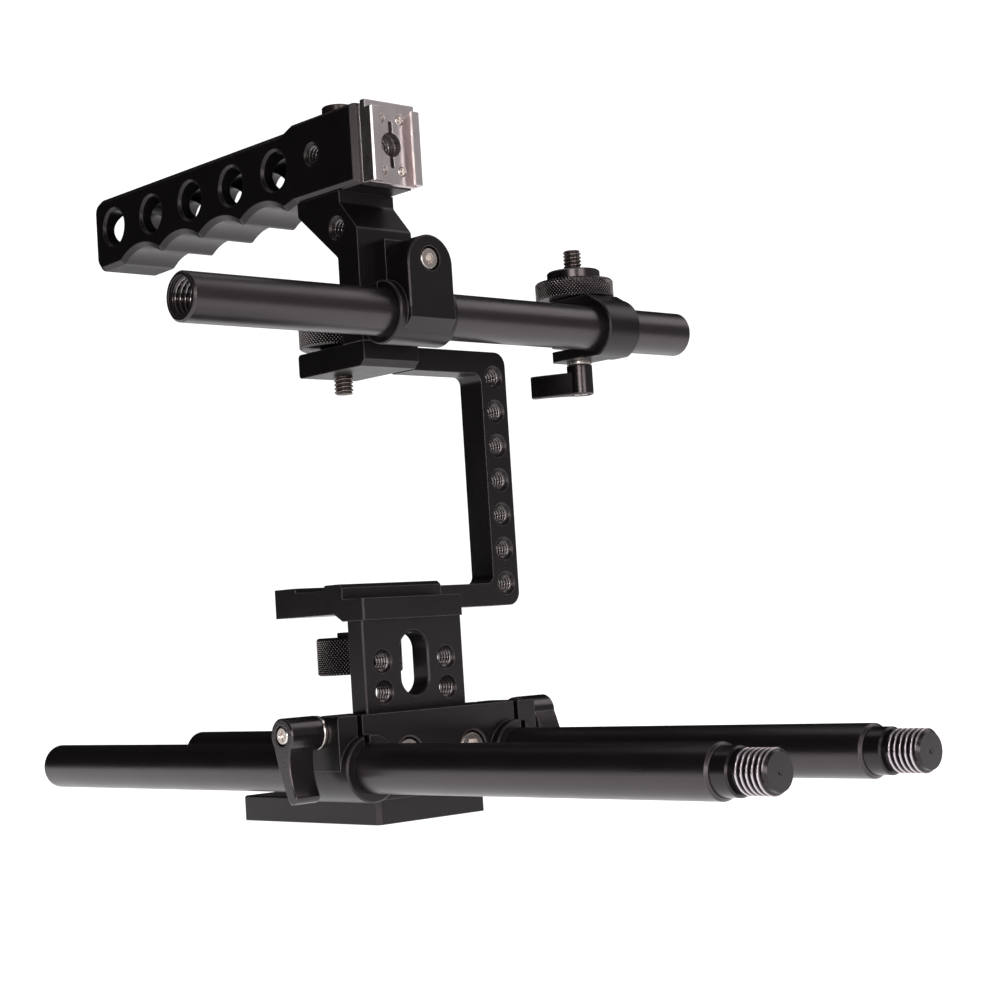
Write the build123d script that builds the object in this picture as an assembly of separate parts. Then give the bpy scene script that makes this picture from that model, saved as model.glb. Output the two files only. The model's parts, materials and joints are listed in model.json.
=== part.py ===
"""Camera rig for a small cinema camera: 15 mm rods, base, riser, camera plate, side bracket and top handle.

Millimetres. The origin is the tripod thread in the underside of the base plate. +Z is up, the lens points
towards -Y, and +X is on the right of a person who faces the front of the rig.
"""
import math
import os

from build123d import *

# Standard sizes
ROD_RADIUS = 7.5
ROD_SPACING = 60.0
ROD_CORE_RADIUS = 5.2
ROD_THREAD_RADIUS = 6.0
ROD_THREAD_DEPTH = 16.0
QUARTER_INCH_RADIUS = 3.175
THREE_EIGHTHS_RADIUS = 4.7625
RUNNING_GAP = 0.05
EDGE = 0.4

# Base plate
BASE_WIDTH = 44.0
BASE_LENGTH = 70.0
BASE_HEIGHT = 8.0
BASE_CORNER = 1.2
BASE_SCREW_X = 13.0
BASE_TAP_PITCH = 32.0

# Rod block
ROD_AXIS_Z = 18.0
BLOCK_FRONT = -41.0
BLOCK_DEPTH = 19.5
BLOCK_TOP = 34.0
COLLAR_RADIUS = 10.2
COLLAR_PROUD = 3.0
SLIT_INNER = 31.0
SLIT_OUTER = 33.0
EAR_OUTER = 40.3
LEVER_Y = -31.2
LEVER_Z = 29.6

# Rods
LEFT_ROD_FRONT = -182.2
RIGHT_ROD_FRONT = -183.6
ROD_LENGTH = 317.0
CONNECTOR_LENGTH = 17.4
CONNECTOR_NECK_RADIUS = 6.5
CONNECTOR_NECK_LENGTH = 5.6

# Riser plate
PLATE_HALF = 20.4
RISER_FRONT = -30.35
RISER_THICK = 7.4
RISER_TOP = 62.4
RISER_HOLE_X = 13.0
RISER_HOLE_PITCH = 9.5
RISER_HOLE_FIRST = 20.9
RISER_HOLE_ROWS = 4
RISER_SLOT_WIDTH = 10.9
RISER_SLOT_HEIGHT = 19.8
RISER_SLOT_Z = 48.2
RISER_MIDDLE = RISER_FRONT + RISER_THICK / 2
BOLT_COUNTERBORE = 6.0

# Camera plate
LIP_FRONT = -31.4
LIP_TOP = 69.2
PAD_FRONT = -21.4
PAD_TOP = 74.1
PLATE_REAR = 14.7
PLATE_UNDER = 64.8
CHANNEL_FRONT = -12.0
CHANNEL_REAR = 2.4
CHANNEL_DEPTH = 1.6

# Captive camera screws, one under the camera and one over it
SCREW_Y = -3.0
KNOB_RADIUS = 13.8
KNOB_HEIGHT = 12.1
KNOB_WASHER_RADIUS = 6.9
KNOB_WASHER_THICK = 1.5
SCREW_RADIUS = 3.1
SHANK_RADIUS = 2.6
SCREW_THREAD = 5.7
SCREW_REACH = 5.8
CAMERA_SCREW_DROP = 5.6

# Side bracket
BRACKET_FRONT = -21.4
BRACKET_DEPTH = 10.7
BRACKET_OUTER = 55.2
BRACKET_BAR = 11.2
BRACKET_BOTTOM = 65.0
BRACKET_ARM = 7.5
BRACKET_HOLE_COUNT = 7
BRACKET_HOLE_PITCH = 11.54
BRACKET_HOLE_FIRST = 72.3
BRACKET_HOLE_X = 49.7
BRACKET_OUTER_CORNER = 4.5
BRACKET_INNER_CORNER = 3.0
TONGUE_LENGTH = 13.4
TONGUE_THICK = 4.4
FLANGE_THICK = 3.4
FLANGE_SCREW_Y = (-7.5, 2.2)
FLANGE_SCREW_Z = 146.6
TONGUE_BOTTOM = PLATE_UNDER + 2.0
TONGUE_FRONT = BRACKET_FRONT + 2.2
TONGUE_REAR = BRACKET_FRONT + BRACKET_DEPTH - 1.2
TONGUE_SCREW_X = (10.0, 17.0)
TONGUE_SCREW_Y = -14.2

# Handle riser
FOOT_HALF = 11.2
FOOT_FRONT = -28.05
FOOT_REAR = 5.75
FOOT_UNDER = 142.3
FOOT_TOP = 150.1
WEB_REAR = -17.8
SHOULDER_FRONT = -20.2
SHOULDER_REAR = 1.6
HANDLE_UNDER = 199.5
SIDE_TAP_Y = -17.9
SIDE_TAP_Z = 187.7
BOSS_SCREW_X = 4.6
BOSS_SCREW_Z = 168.4
BOSS_COUNTERBORE = 4.2
DOWEL_Y = -15.5
DOWEL_RADIUS = 1.5

# Handle
HANDLE_HALF = 12.0
HANDLE_FRONT = -30.25
HANDLE_REAR = 123.4
HANDLE_TOP = 225.5
HANDLE_BACK_TOP = 224.1
HANDLE_STEP_Y = 2.3
HANDLE_STEP_END = 6.0
GRIP_PITCH = 24.5
GRIP_FIRST_CUSP = 8.1
GRIP_CUSP_Z = 198.0
GRIP_PEAK_Z = 202.0
GRIP_COUNT = 4
GRIP_HOLE_RADIUS = 6.4
GRIP_HOLE_Z = 212.5
GRIP_HOLE_FIRST = 12.4
GRIP_HOLE_COUNT = 5
HANDLE_BOLT_HEAD = 5.0
GRIP_BORE_RADIUS = 7.6
GRIP_BORE_END = 4.0
HANDLE_CHAMFER = 1.55
HANDLE_BOLT_Y = -8.2
HANDLE_TAP_DEPTH = 6.5
HANDLE_TAP_Z = 213.6

# Cold shoe
SHOE_Z = 212.4
SHOE_HALF_WIDTH = 10.1
SHOE_BOTTOM = 199.6
SHOE_TOP = 226.0
SHOE_RAIL_TOP = 223.4
SHIM_HALF_WIDTH = 9.9
SHIM_THICK = 0.9
SHOE_GAP = 0.75
SHOE_BASE = 2.2
SHOE_CHANNEL_HALF = 9.35
SHOE_MOUTH_HALF = 6.7
SHOE_CHANNEL_DEPTH = 2.1
SHOE_LIP = 0.9
SHOE_SCREW_X = 3.9
SHOE_SCREW_Z = 8.3
KEYHOLE_RADIUS = 4.0
KEYHOLE_HEIGHT = 15.4
KEYHOLE_SLOT = 1.6

# Top rod and its clamp
TOP_ROD_Y = -38.1
TOP_ROD_Z = 157.4
TOP_ROD_LEFT = -86.0
TOP_ROD_RIGHT = 123.6
TOP_COLLAR_HALF = 11.9
TOP_COLLAR_RADIUS = 10.0
TAB_HALF = 9.1
TAB_FRONT = -49.5
TAB_TOP_CENTRE = 171.6
BOSS_HALF = 7.9
BOSS_TOP = 181.2
TOP_SLIT_FRONT = -39.0
TOP_SLIT_REAR = -37.3
TOP_SCREW_Z = 173.2

# Accessory clamp on the top rod
STUD_X = 87.3
STUD_Y = -25.1
ACCESSORY_HALF = 7.4
ACCESSORY_RADIUS = 10.4
ACCESSORY_CORNER = 3.5
ACCESSORY_UNDER = 148.1
ACCESSORY_SLIT_Z = 151.7
ACCESSORY_SLIT = 1.5
ACCESSORY_TOP = 169.2
DISC_BOTTOM = 169.6
DISC_KNURL_TOP = 175.9
DISC_RADIUS = 13.65
DISC_BOSS_RADIUS = 9.2
DISC_TOP = 179.6
STUD_TOP = 186.9

# Clamp levers
LEVER_SIZE = 1.08
ACCESSORY_LEVER_SIZE = 0.92
LEVER_HUB_RADIUS = 4.8
LEVER_HUB_LENGTH = 11.4
LEVER_ARM_WIDTH = 8.4
LEVER_WASHER_THICK = 1.3
LEVER_SCREW_RADIUS = 2.5
LEVER_HEAD_RADIUS = 2.9
LEVER_RECESS = 1.6
LEFT_LEVER_LEAN = 10.0
RIGHT_LEVER_LEAN = 26.0
ACCESSORY_LEVER_TURN = 126.0


def block(x0, x1, y0, y1, z0, z1):
    """Box between two corners."""
    size = Box(x1 - x0, y1 - y0, z1 - z0)
    return Pos((x0 + x1) / 2, (y0 + y1) / 2, (z0 + z1) / 2) * size


def drum_x(y, z, radius, x0, x1):
    """Cylinder along X."""
    return Pos((x0 + x1) / 2, y, z) * Rot(0, 90, 0) * Cylinder(radius, x1 - x0)


def drum_y(x, z, radius, y0, y1):
    """Cylinder along Y."""
    return Pos(x, (y0 + y1) / 2, z) * Rot(90, 0, 0) * Cylinder(radius, y1 - y0)


def drum_z(x, y, radius, z0, z1):
    """Cylinder along Z."""
    return Pos(x, y, (z0 + z1) / 2) * Cylinder(radius, z1 - z0)


def funnel(radius, tip_radius, height):
    """Cone along Z whose wide end is at z = 0 and whose narrow end is below it."""
    return Pos(0, 0, -height / 2) * Cone(tip_radius, radius, height)


def mouth_y(x, z, radius, y, size, towards):
    """Countersink of a hole along Y whose mouth is at y and opens towards -1 or +1."""
    turn = Rot(90, 0, 0) if towards < 0 else Rot(-90, 0, 0)
    return Pos(x, y, z) * turn * funnel(radius + size, radius, size)


def mouth_x(y, z, radius, x, size, towards):
    """Countersink of a hole along X whose mouth is at x and opens towards -1 or +1."""
    return Pos(x, y, z) * Rot(0, 90 * towards, 0) * funnel(radius + size, radius, size)


def mouth_z(x, y, radius, z, size, towards):
    """Countersink of a hole along Z whose mouth is at z and opens towards -1 or +1."""
    turn = Rot(180, 0, 0) if towards < 0 else Rot(0, 0, 0)
    return Pos(x, y, z) * turn * funnel(radius + size, radius, size)


def side_outline(points, half_width):
    """Solid from a Y-Z outline, as wide as twice half_width and centred on X = 0."""
    face = make_face(Polyline(*points, close=True))
    sketch = Plane.YZ.offset(-half_width) * face
    return extrude(sketch, amount=2 * half_width, dir=(1, 0, 0))


def front_outline(face, y0, y1):
    """Solid from a sketch drawn in X and Z, between two Y positions."""
    placed = Plane(origin=(0, y0, 0), x_dir=(1, 0, 0), z_dir=(0, -1, 0)) * face
    return extrude(placed, amount=y1 - y0, dir=(0, 1, 0))


def socket_screw(radius, length, head_radius, head_height, hex_across):
    """Cap screw along Z: the shank starts at z = 0 and goes down, the head stands above."""
    shank = drum_z(0, 0, radius, -length, 0)
    shank = chamfer(shank.edges().sort_by(Axis.Z)[0], EDGE)
    head = drum_z(0, 0, head_radius, 0, head_height)
    head = chamfer(head.edges().sort_by(Axis.Z)[-1], EDGE)
    hexagon = RegularPolygon(hex_across / 2, 6, major_radius=False)
    socket = extrude(Pos(0, 0, head_height - hex_across * 0.6) * hexagon, amount=hex_across)
    return shank + head - socket


def flat_head_screw(radius, length, head_radius, hex_across):
    """Countersunk screw along Z: its flat head lies at z = 0 and the shank goes down."""
    head_height = head_radius - radius
    shank = drum_z(0, 0, radius, -length, -head_height)
    hexagon = RegularPolygon(hex_across / 2, 6, major_radius=False)
    socket = extrude(Pos(0, 0, -hex_across * 0.6) * hexagon, amount=hex_across)
    return shank + funnel(head_radius, radius, head_height) - socket


def cross_screw(radius, length, head_radius, head_height, cross_width):
    """Pan screw with a cross recess, along Z: the shank goes down from z = 0."""
    shank = drum_z(0, 0, radius, -length, 0)
    head = drum_z(0, 0, head_radius, 0, head_height)
    head = chamfer(head.edges().sort_by(Axis.Z)[-1], head_height * 0.4)
    arm = head_radius * 1.2
    depth = head_height * 0.7
    bar = Pos(0, 0, head_height - depth / 2) * Box(arm, cross_width, depth)
    return shank + head - bar - Rot(0, 0, 90) * bar


def base_plate():
    plate = block(-BASE_WIDTH / 2, BASE_WIDTH / 2, -BASE_LENGTH / 2, BASE_LENGTH / 2, 0, BASE_HEIGHT)
    plate = chamfer(plate.edges().filter_by(Axis.Z), BASE_CORNER)
    plate = chamfer(plate.faces().sort_by(Axis.Z)[-1].edges(), EDGE)
    plate -= drum_z(0, 0, THREE_EIGHTHS_RADIUS, -1, BASE_HEIGHT + 1)
    for end in (-1, 1):
        plate -= drum_z(0, end * BASE_TAP_PITCH / 2, QUARTER_INCH_RADIUS, -1, BASE_HEIGHT + 1)
    for side in (-1, 1):
        plate -= drum_z(side * BASE_SCREW_X, RISER_MIDDLE, 2.2, -1, BASE_HEIGHT + 1)
        plate -= mouth_z(side * BASE_SCREW_X, RISER_MIDDLE, 2.2, 0, 1.9, -1)
    return plate


def base_plate_screws():
    screw = flat_head_screw(1.95, 15.5, 3.9, 2.5)
    return [Pos(side * BASE_SCREW_X, RISER_MIDDLE, 0.05) * Rot(180, 0, 0) * screw for side in (-1, 1)]


def rod_block():
    rear = BLOCK_FRONT + BLOCK_DEPTH
    body = block(-SLIT_INNER, SLIT_INNER, BLOCK_FRONT, rear, BASE_HEIGHT, BLOCK_TOP)
    for side in (-1, 1):
        ear_x = sorted((side * (SLIT_OUTER - 0.01), side * EAR_OUTER))
        ear = block(ear_x[0], ear_x[1], BLOCK_FRONT, rear, ROD_AXIS_Z, BLOCK_TOP)
        outer_edges = ear.edges().filter_by(Axis.Y).sort_by(Axis.X)
        outer_top = (outer_edges[:2] if side < 0 else outer_edges[-2:]).sort_by(Axis.Z)[-1]
        ear = fillet(outer_top, 1.0)
        collar = drum_y(side * ROD_SPACING / 2, ROD_AXIS_Z, COLLAR_RADIUS,
                        BLOCK_FRONT - COLLAR_PROUD, rear + COLLAR_PROUD)
        collar = chamfer(collar.edges(), EDGE)
        body += ear + collar
    for side in (-1, 1):
        axis_x = side * ROD_SPACING / 2
        slit_x = sorted((side * SLIT_INNER, side * SLIT_OUTER))
        body -= block(slit_x[0], slit_x[1], -60, 0, ROD_AXIS_Z, BLOCK_TOP + 1)
        body -= drum_y(axis_x, ROD_AXIS_Z, ROD_RADIUS + RUNNING_GAP, -60, 0)
        screw_x = sorted((side * 20.8, side * (SLIT_INNER + 0.5)))
        body -= drum_x(LEVER_Y, LEVER_Z, LEVER_SCREW_RADIUS + RUNNING_GAP, screw_x[0], screw_x[1])
        ear_x = sorted((side * SLIT_INNER, side * 42.0))
        body -= drum_x(LEVER_Y, LEVER_Z, LEVER_SCREW_RADIUS + 0.1, ear_x[0], ear_x[1])
        bolt_x = side * RISER_HOLE_X
        body -= drum_y(bolt_x, RISER_HOLE_FIRST, 3.3, -60, -10)
        body -= drum_y(bolt_x, RISER_HOLE_FIRST, 5.2, BLOCK_FRONT - 1, BLOCK_FRONT + BOLT_COUNTERBORE)
        body -= mouth_y(bolt_x, RISER_HOLE_FIRST, 5.2, BLOCK_FRONT, EDGE, -1)
    return body - block(-PLATE_HALF, PLATE_HALF, RISER_FRONT, rear + 1, 0, BLOCK_TOP + 1)


def rod(x, front):
    rear = front + ROD_LENGTH
    tube = drum_y(x, ROD_AXIS_Z, ROD_RADIUS, front, rear)
    tube = chamfer(tube.edges(), 0.7)
    tube -= drum_y(x, ROD_AXIS_Z, ROD_CORE_RADIUS, front - 1, rear + 1)
    tube -= drum_y(x, ROD_AXIS_Z, ROD_THREAD_RADIUS, front - 1, front + ROD_THREAD_DEPTH)
    return tube - drum_y(x, ROD_AXIS_Z, ROD_THREAD_RADIUS, rear - ROD_THREAD_DEPTH, rear + 1)


def rod_connector(x, front):
    tip = front - CONNECTOR_LENGTH
    neck_front = front - CONNECTOR_NECK_LENGTH
    thread = drum_y(x, ROD_AXIS_Z, ROD_THREAD_RADIUS, tip, neck_front - 1.4)
    thread = chamfer(thread.edges().sort_by(Axis.Y)[0], 1.0)
    undercut = drum_y(x, ROD_AXIS_Z, 5.0, neck_front - 1.6, neck_front + 0.1)
    neck = drum_y(x, ROD_AXIS_Z, CONNECTOR_NECK_RADIUS, neck_front, front)
    neck = chamfer(neck.edges().sort_by(Axis.Y)[0], 0.5)
    buried = drum_y(x, ROD_AXIS_Z, ROD_THREAD_RADIUS - 0.02, front - 0.1, front + 13.0)
    centre_drill = mouth_y(x, ROD_AXIS_Z, 0.4, tip, 0.9, -1)
    return thread + undercut + neck + buried - centre_drill


def riser_plate():
    rear = RISER_FRONT + RISER_THICK
    plate = block(-PLATE_HALF, PLATE_HALF, RISER_FRONT, rear, BASE_HEIGHT, RISER_TOP)
    plate = chamfer(plate.edges().filter_by(Axis.Z), EDGE)
    straight = RISER_SLOT_HEIGHT - RISER_SLOT_WIDTH
    slot_face = Pos(0, RISER_SLOT_Z) * Rot(0, 0, 90) * SlotCenterToCenter(straight, RISER_SLOT_WIDTH)
    slot = front_outline(slot_face, RISER_FRONT - 1, rear + 1)
    plate -= slot
    front_face = plate.faces().sort_by(Axis.Y)[0]
    rim = [edge for edge in front_face.edges() if abs(edge.center().X) < RISER_SLOT_WIDTH
           and abs(edge.center().Z - RISER_SLOT_Z) < RISER_SLOT_HEIGHT / 2 + 0.5]
    plate = chamfer(rim, 0.5)
    for side in (-1, 1):
        for row in range(RISER_HOLE_ROWS):
            z = RISER_HOLE_FIRST + row * RISER_HOLE_PITCH
            plate -= drum_y(side * RISER_HOLE_X, z, QUARTER_INCH_RADIUS, RISER_FRONT - 1, rear + 1)
            plate -= mouth_y(side * RISER_HOLE_X, z, QUARTER_INCH_RADIUS, RISER_FRONT, 0.6, -1)
        plate -= drum_z(side * BASE_SCREW_X, RISER_MIDDLE, 2.0, BASE_HEIGHT - 1, BASE_HEIGHT + 8)
        plate -= drum_z(side * 7.0, RISER_MIDDLE, 2.0, RISER_TOP - 4.5, RISER_TOP + 1)
    return plate


def riser_bolts():
    bolt = socket_screw(SCREW_RADIUS, 11.4, 4.75, 5.6, 4.76)
    placed = Rot(90, 0, 0) * bolt
    seat = BLOCK_FRONT + BOLT_COUNTERBORE
    return [Pos(side * RISER_HOLE_X, seat, RISER_HOLE_FIRST) * placed for side in (-1, 1)]


def camera_plate():
    under_slope = 4.0
    outline = [
        (LIP_FRONT, RISER_TOP), (LIP_FRONT, LIP_TOP), (PAD_FRONT, LIP_TOP),
        (PAD_FRONT, PAD_TOP - 1.2), (PAD_FRONT + 1.5, PAD_TOP), (CHANNEL_FRONT - 0.9, PAD_TOP),
        (CHANNEL_FRONT, PAD_TOP - CHANNEL_DEPTH), (CHANNEL_REAR, PAD_TOP - CHANNEL_DEPTH),
        (CHANNEL_REAR, PAD_TOP), (PLATE_REAR, PAD_TOP), (PLATE_REAR, PLATE_UNDER),
        (PAD_FRONT + under_slope + 0.5, PLATE_UNDER), (PAD_FRONT + 0.5, RISER_TOP),
    ]
    plate = side_outline(outline, PLATE_HALF)
    lip_ends = plate.edges().filter_by(Axis.Z).sort_by(Axis.Y)[:2]
    plate = chamfer(lip_ends, EDGE)
    plate = fillet(plate.edges().filter_by(Axis.Z).sort_by(Axis.Y)[-2:], 2.0)
    plate -= drum_z(0, SCREW_Y, SCREW_RADIUS + 0.1, 60, 80)
    for side in (-1, 1):
        plate -= drum_z(side * 7.0, RISER_MIDDLE, 2.2, 60, LIP_TOP + 1)
        plate -= mouth_z(side * 7.0, RISER_MIDDLE, 2.2, LIP_TOP, 1.9, 1)
    tongue = tongue_box(0.05)
    plate -= tongue
    for x in TONGUE_SCREW_X:
        plate -= drum_z(x, TONGUE_SCREW_Y, 1.7, PLATE_UNDER - 1, TONGUE_BOTTOM)
        plate -= mouth_z(x, TONGUE_SCREW_Y, 1.7, PLATE_UNDER, 1.4, -1)
    return plate


def camera_plate_screws():
    screw = flat_head_screw(1.95, 10.6, 3.9, 2.5)
    return [Pos(side * 7.0, RISER_MIDDLE, LIP_TOP - 0.05) * screw for side in (-1, 1)]


def knob(bottom, flip):
    """Thumb knob with its axis at the captive screw; flip 1 puts the screw side up, -1 down."""
    body = drum_z(0, 0, KNOB_RADIUS, -KNOB_HEIGHT / 2, KNOB_HEIGHT / 2)
    body = chamfer(body.edges(), 0.7)
    outer = body.faces().sort_by(Axis.Z)[0]
    dish = drum_z(0, 0, KNOB_RADIUS - 3.0, outer.center().Z - 1, outer.center().Z + 0.8)
    body -= dish
    body -= drum_z(0, 0, SHANK_RADIUS, -KNOB_HEIGHT / 2 + 3.0, KNOB_HEIGHT / 2 + 1)
    turn = Rot(0, 0, 0) if flip > 0 else Rot(180, 0, 0)
    return Pos(0, SCREW_Y, bottom + KNOB_HEIGHT / 2) * turn * body


def knob_washer(bottom):
    ring = drum_z(0, SCREW_Y, KNOB_WASHER_RADIUS, bottom, bottom + KNOB_WASHER_THICK)
    ring = chamfer(ring.edges(), 0.2)
    return ring - drum_z(0, SCREW_Y, SCREW_RADIUS + 0.1, bottom - 1, bottom + KNOB_WASHER_THICK + 1)


def captive_screw(tip, end):
    """Screw between two heights: the full thread is next to its tip, the rest is the plain shank."""
    away = 1 if end > tip else -1
    thread_z = sorted((tip, tip + away * SCREW_THREAD))
    shank_z = sorted((tip + away * 1.0, end))
    thread = drum_z(0, SCREW_Y, SCREW_RADIUS, thread_z[0], thread_z[1])
    tip_edges = thread.edges().sort_by(Axis.Z)
    thread = chamfer(tip_edges[0] if away > 0 else tip_edges[-1], 0.5)
    return thread + drum_z(0, SCREW_Y, SHANK_RADIUS, shank_z[0], shank_z[1])


def tongue_box(gap):
    """The bracket's tongue, or with a gap the pocket that it fits in the camera plate."""
    return block(PLATE_HALF - TONGUE_LENGTH - gap, PLATE_HALF + 0.5, TONGUE_FRONT - gap, TONGUE_REAR + gap,
                 TONGUE_BOTTOM - gap, TONGUE_BOTTOM + TONGUE_THICK + gap)


def side_bracket():
    rear = BRACKET_FRONT + BRACKET_DEPTH
    top = FOOT_TOP
    outer = Pos((PLATE_HALF + BRACKET_OUTER) / 2, (BRACKET_BOTTOM + top) / 2) * Rectangle(
        BRACKET_OUTER - PLATE_HALF, top - BRACKET_BOTTOM)
    outer = fillet(outer.vertices().sort_by(Axis.X)[-2:], BRACKET_OUTER_CORNER)
    inner_left = PLATE_HALF - 20.0
    inner_right = BRACKET_OUTER - BRACKET_BAR
    inner_bottom = BRACKET_BOTTOM + BRACKET_ARM
    inner_top = top - BRACKET_ARM
    gap = Pos((inner_left + inner_right) / 2, (inner_bottom + inner_top) / 2) * Rectangle(
        inner_right - inner_left, inner_top - inner_bottom)
    gap = fillet(gap.vertices().sort_by(Axis.X)[-2:], BRACKET_INNER_CORNER)
    bracket = front_outline(outer - gap, BRACKET_FRONT, rear)
    arm_end = FOOT_HALF + FLANGE_THICK
    bracket += block(arm_end - 0.1, PLATE_HALF + 0.1, BRACKET_FRONT, rear, inner_top, top)
    bracket += block(FOOT_HALF, arm_end, BRACKET_FRONT, FOOT_REAR, inner_top + 0.6, top)
    bracket += tongue_box(0.0)
    for index in range(BRACKET_HOLE_COUNT):
        z = BRACKET_HOLE_FIRST + index * BRACKET_HOLE_PITCH
        bracket -= drum_y(BRACKET_HOLE_X, z, QUARTER_INCH_RADIUS, BRACKET_FRONT - 1, rear + 1)
        bracket -= mouth_y(BRACKET_HOLE_X, z, QUARTER_INCH_RADIUS, BRACKET_FRONT, 0.7, -1)
        bracket -= mouth_y(BRACKET_HOLE_X, z, QUARTER_INCH_RADIUS, rear, 0.7, 1)
    for y in FLANGE_SCREW_Y:
        bracket -= drum_x(y, FLANGE_SCREW_Z, 1.7, FOOT_HALF - 1, arm_end + 1)
    for x in TONGUE_SCREW_X:
        bracket -= drum_z(x, TONGUE_SCREW_Y, 1.5, TONGUE_BOTTOM - 1, TONGUE_BOTTOM + TONGUE_THICK + 1)
    return bracket


def bracket_lower_screws():
    screw = flat_head_screw(1.45, 5.8, 2.9, 2.0)
    return [Pos(x, TONGUE_SCREW_Y, PLATE_UNDER + 0.05) * Rot(180, 0, 0) * screw for x in TONGUE_SCREW_X]


def bracket_upper_screws():
    screw = Rot(0, 90, 0) * socket_screw(1.45, 9.0, 2.75, 2.6, 2.5)
    x = FOOT_HALF + FLANGE_THICK
    return [Pos(x, y, FLANGE_SCREW_Z) * screw for y in FLANGE_SCREW_Y]


def riser_foot():
    """Plate over the camera that carries the upper captive screw; the riser stands on its front end."""
    foot = block(-FOOT_HALF, FOOT_HALF, FOOT_FRONT, FOOT_REAR, FOOT_UNDER, FOOT_TOP)
    cross_edges = foot.edges().filter_by(Axis.X)
    foot = chamfer(cross_edges.group_by(Axis.Y)[0].sort_by(Axis.Z)[0], 2.0)
    foot = fillet(foot.edges().filter_by(Axis.X).group_by(Axis.Y)[-1], 1.2)
    foot -= drum_z(0, SCREW_Y, SCREW_RADIUS + 0.1, FOOT_UNDER - 1, FOOT_TOP + 1)
    for y in FLANGE_SCREW_Y:
        foot -= drum_x(y, FLANGE_SCREW_Z, 1.5, FOOT_HALF - 6.2, FOOT_HALF + 1)
    return foot


def handle_riser():
    outline = [
        (FOOT_FRONT, FOOT_TOP), (FOOT_FRONT, 186.2), (SHOULDER_FRONT, 195.4), (SHOULDER_FRONT, HANDLE_UNDER),
        (SHOULDER_REAR, HANDLE_UNDER), (SHOULDER_REAR, 194.7), (WEB_REAR, 178.1), (WEB_REAR, FOOT_TOP),
    ]
    riser = side_outline(outline, FOOT_HALF)
    cross_edges = riser.edges().filter_by(Axis.X)
    bends = [edge for edge in cross_edges if edge.center().Z > 170 and edge.center().Z < 198]
    riser = fillet(bends, 1.5)
    riser -= drum_x(SIDE_TAP_Y, SIDE_TAP_Z, QUARTER_INCH_RADIUS, -FOOT_HALF - 1, FOOT_HALF + 1)
    for side in (-1, 1):
        riser -= mouth_x(SIDE_TAP_Y, SIDE_TAP_Z, QUARTER_INCH_RADIUS, side * FOOT_HALF, 0.7, side)
        riser -= drum_y(side * BOSS_SCREW_X, BOSS_SCREW_Z, 2.1, FOOT_FRONT - 1, WEB_REAR + 1)
        riser -= drum_y(side * BOSS_SCREW_X, BOSS_SCREW_Z, 3.7, WEB_REAR - BOSS_COUNTERBORE, WEB_REAR + 1)
    riser -= drum_z(0, HANDLE_BOLT_Y, 3.0, HANDLE_UNDER - 11.5, HANDLE_UNDER + 1)
    return riser - drum_z(0, DOWEL_Y, DOWEL_RADIUS, HANDLE_UNDER - 5.0, HANDLE_UNDER + 1)


def boss_screws():
    screw = Rot(-90, 0, 0) * socket_screw(1.95, 11.8, 3.5, 3.9, 3.0)
    return [Pos(side * BOSS_SCREW_X, WEB_REAR - BOSS_COUNTERBORE, BOSS_SCREW_Z) * screw for side in (-1, 1)]


def grip_line():
    """Underside of the handle from its rear end to its front: flat ends joined by finger grooves."""
    first = GRIP_FIRST_CUSP
    edges = []
    for index in range(GRIP_COUNT):
        left = first + index * GRIP_PITCH
        start = (left, GRIP_CUSP_Z)
        middle = (left + GRIP_PITCH / 2, GRIP_PEAK_Z)
        edges.append(ThreePointArc(start, middle, (left + GRIP_PITCH, GRIP_CUSP_Z)))
    return edges


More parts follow.
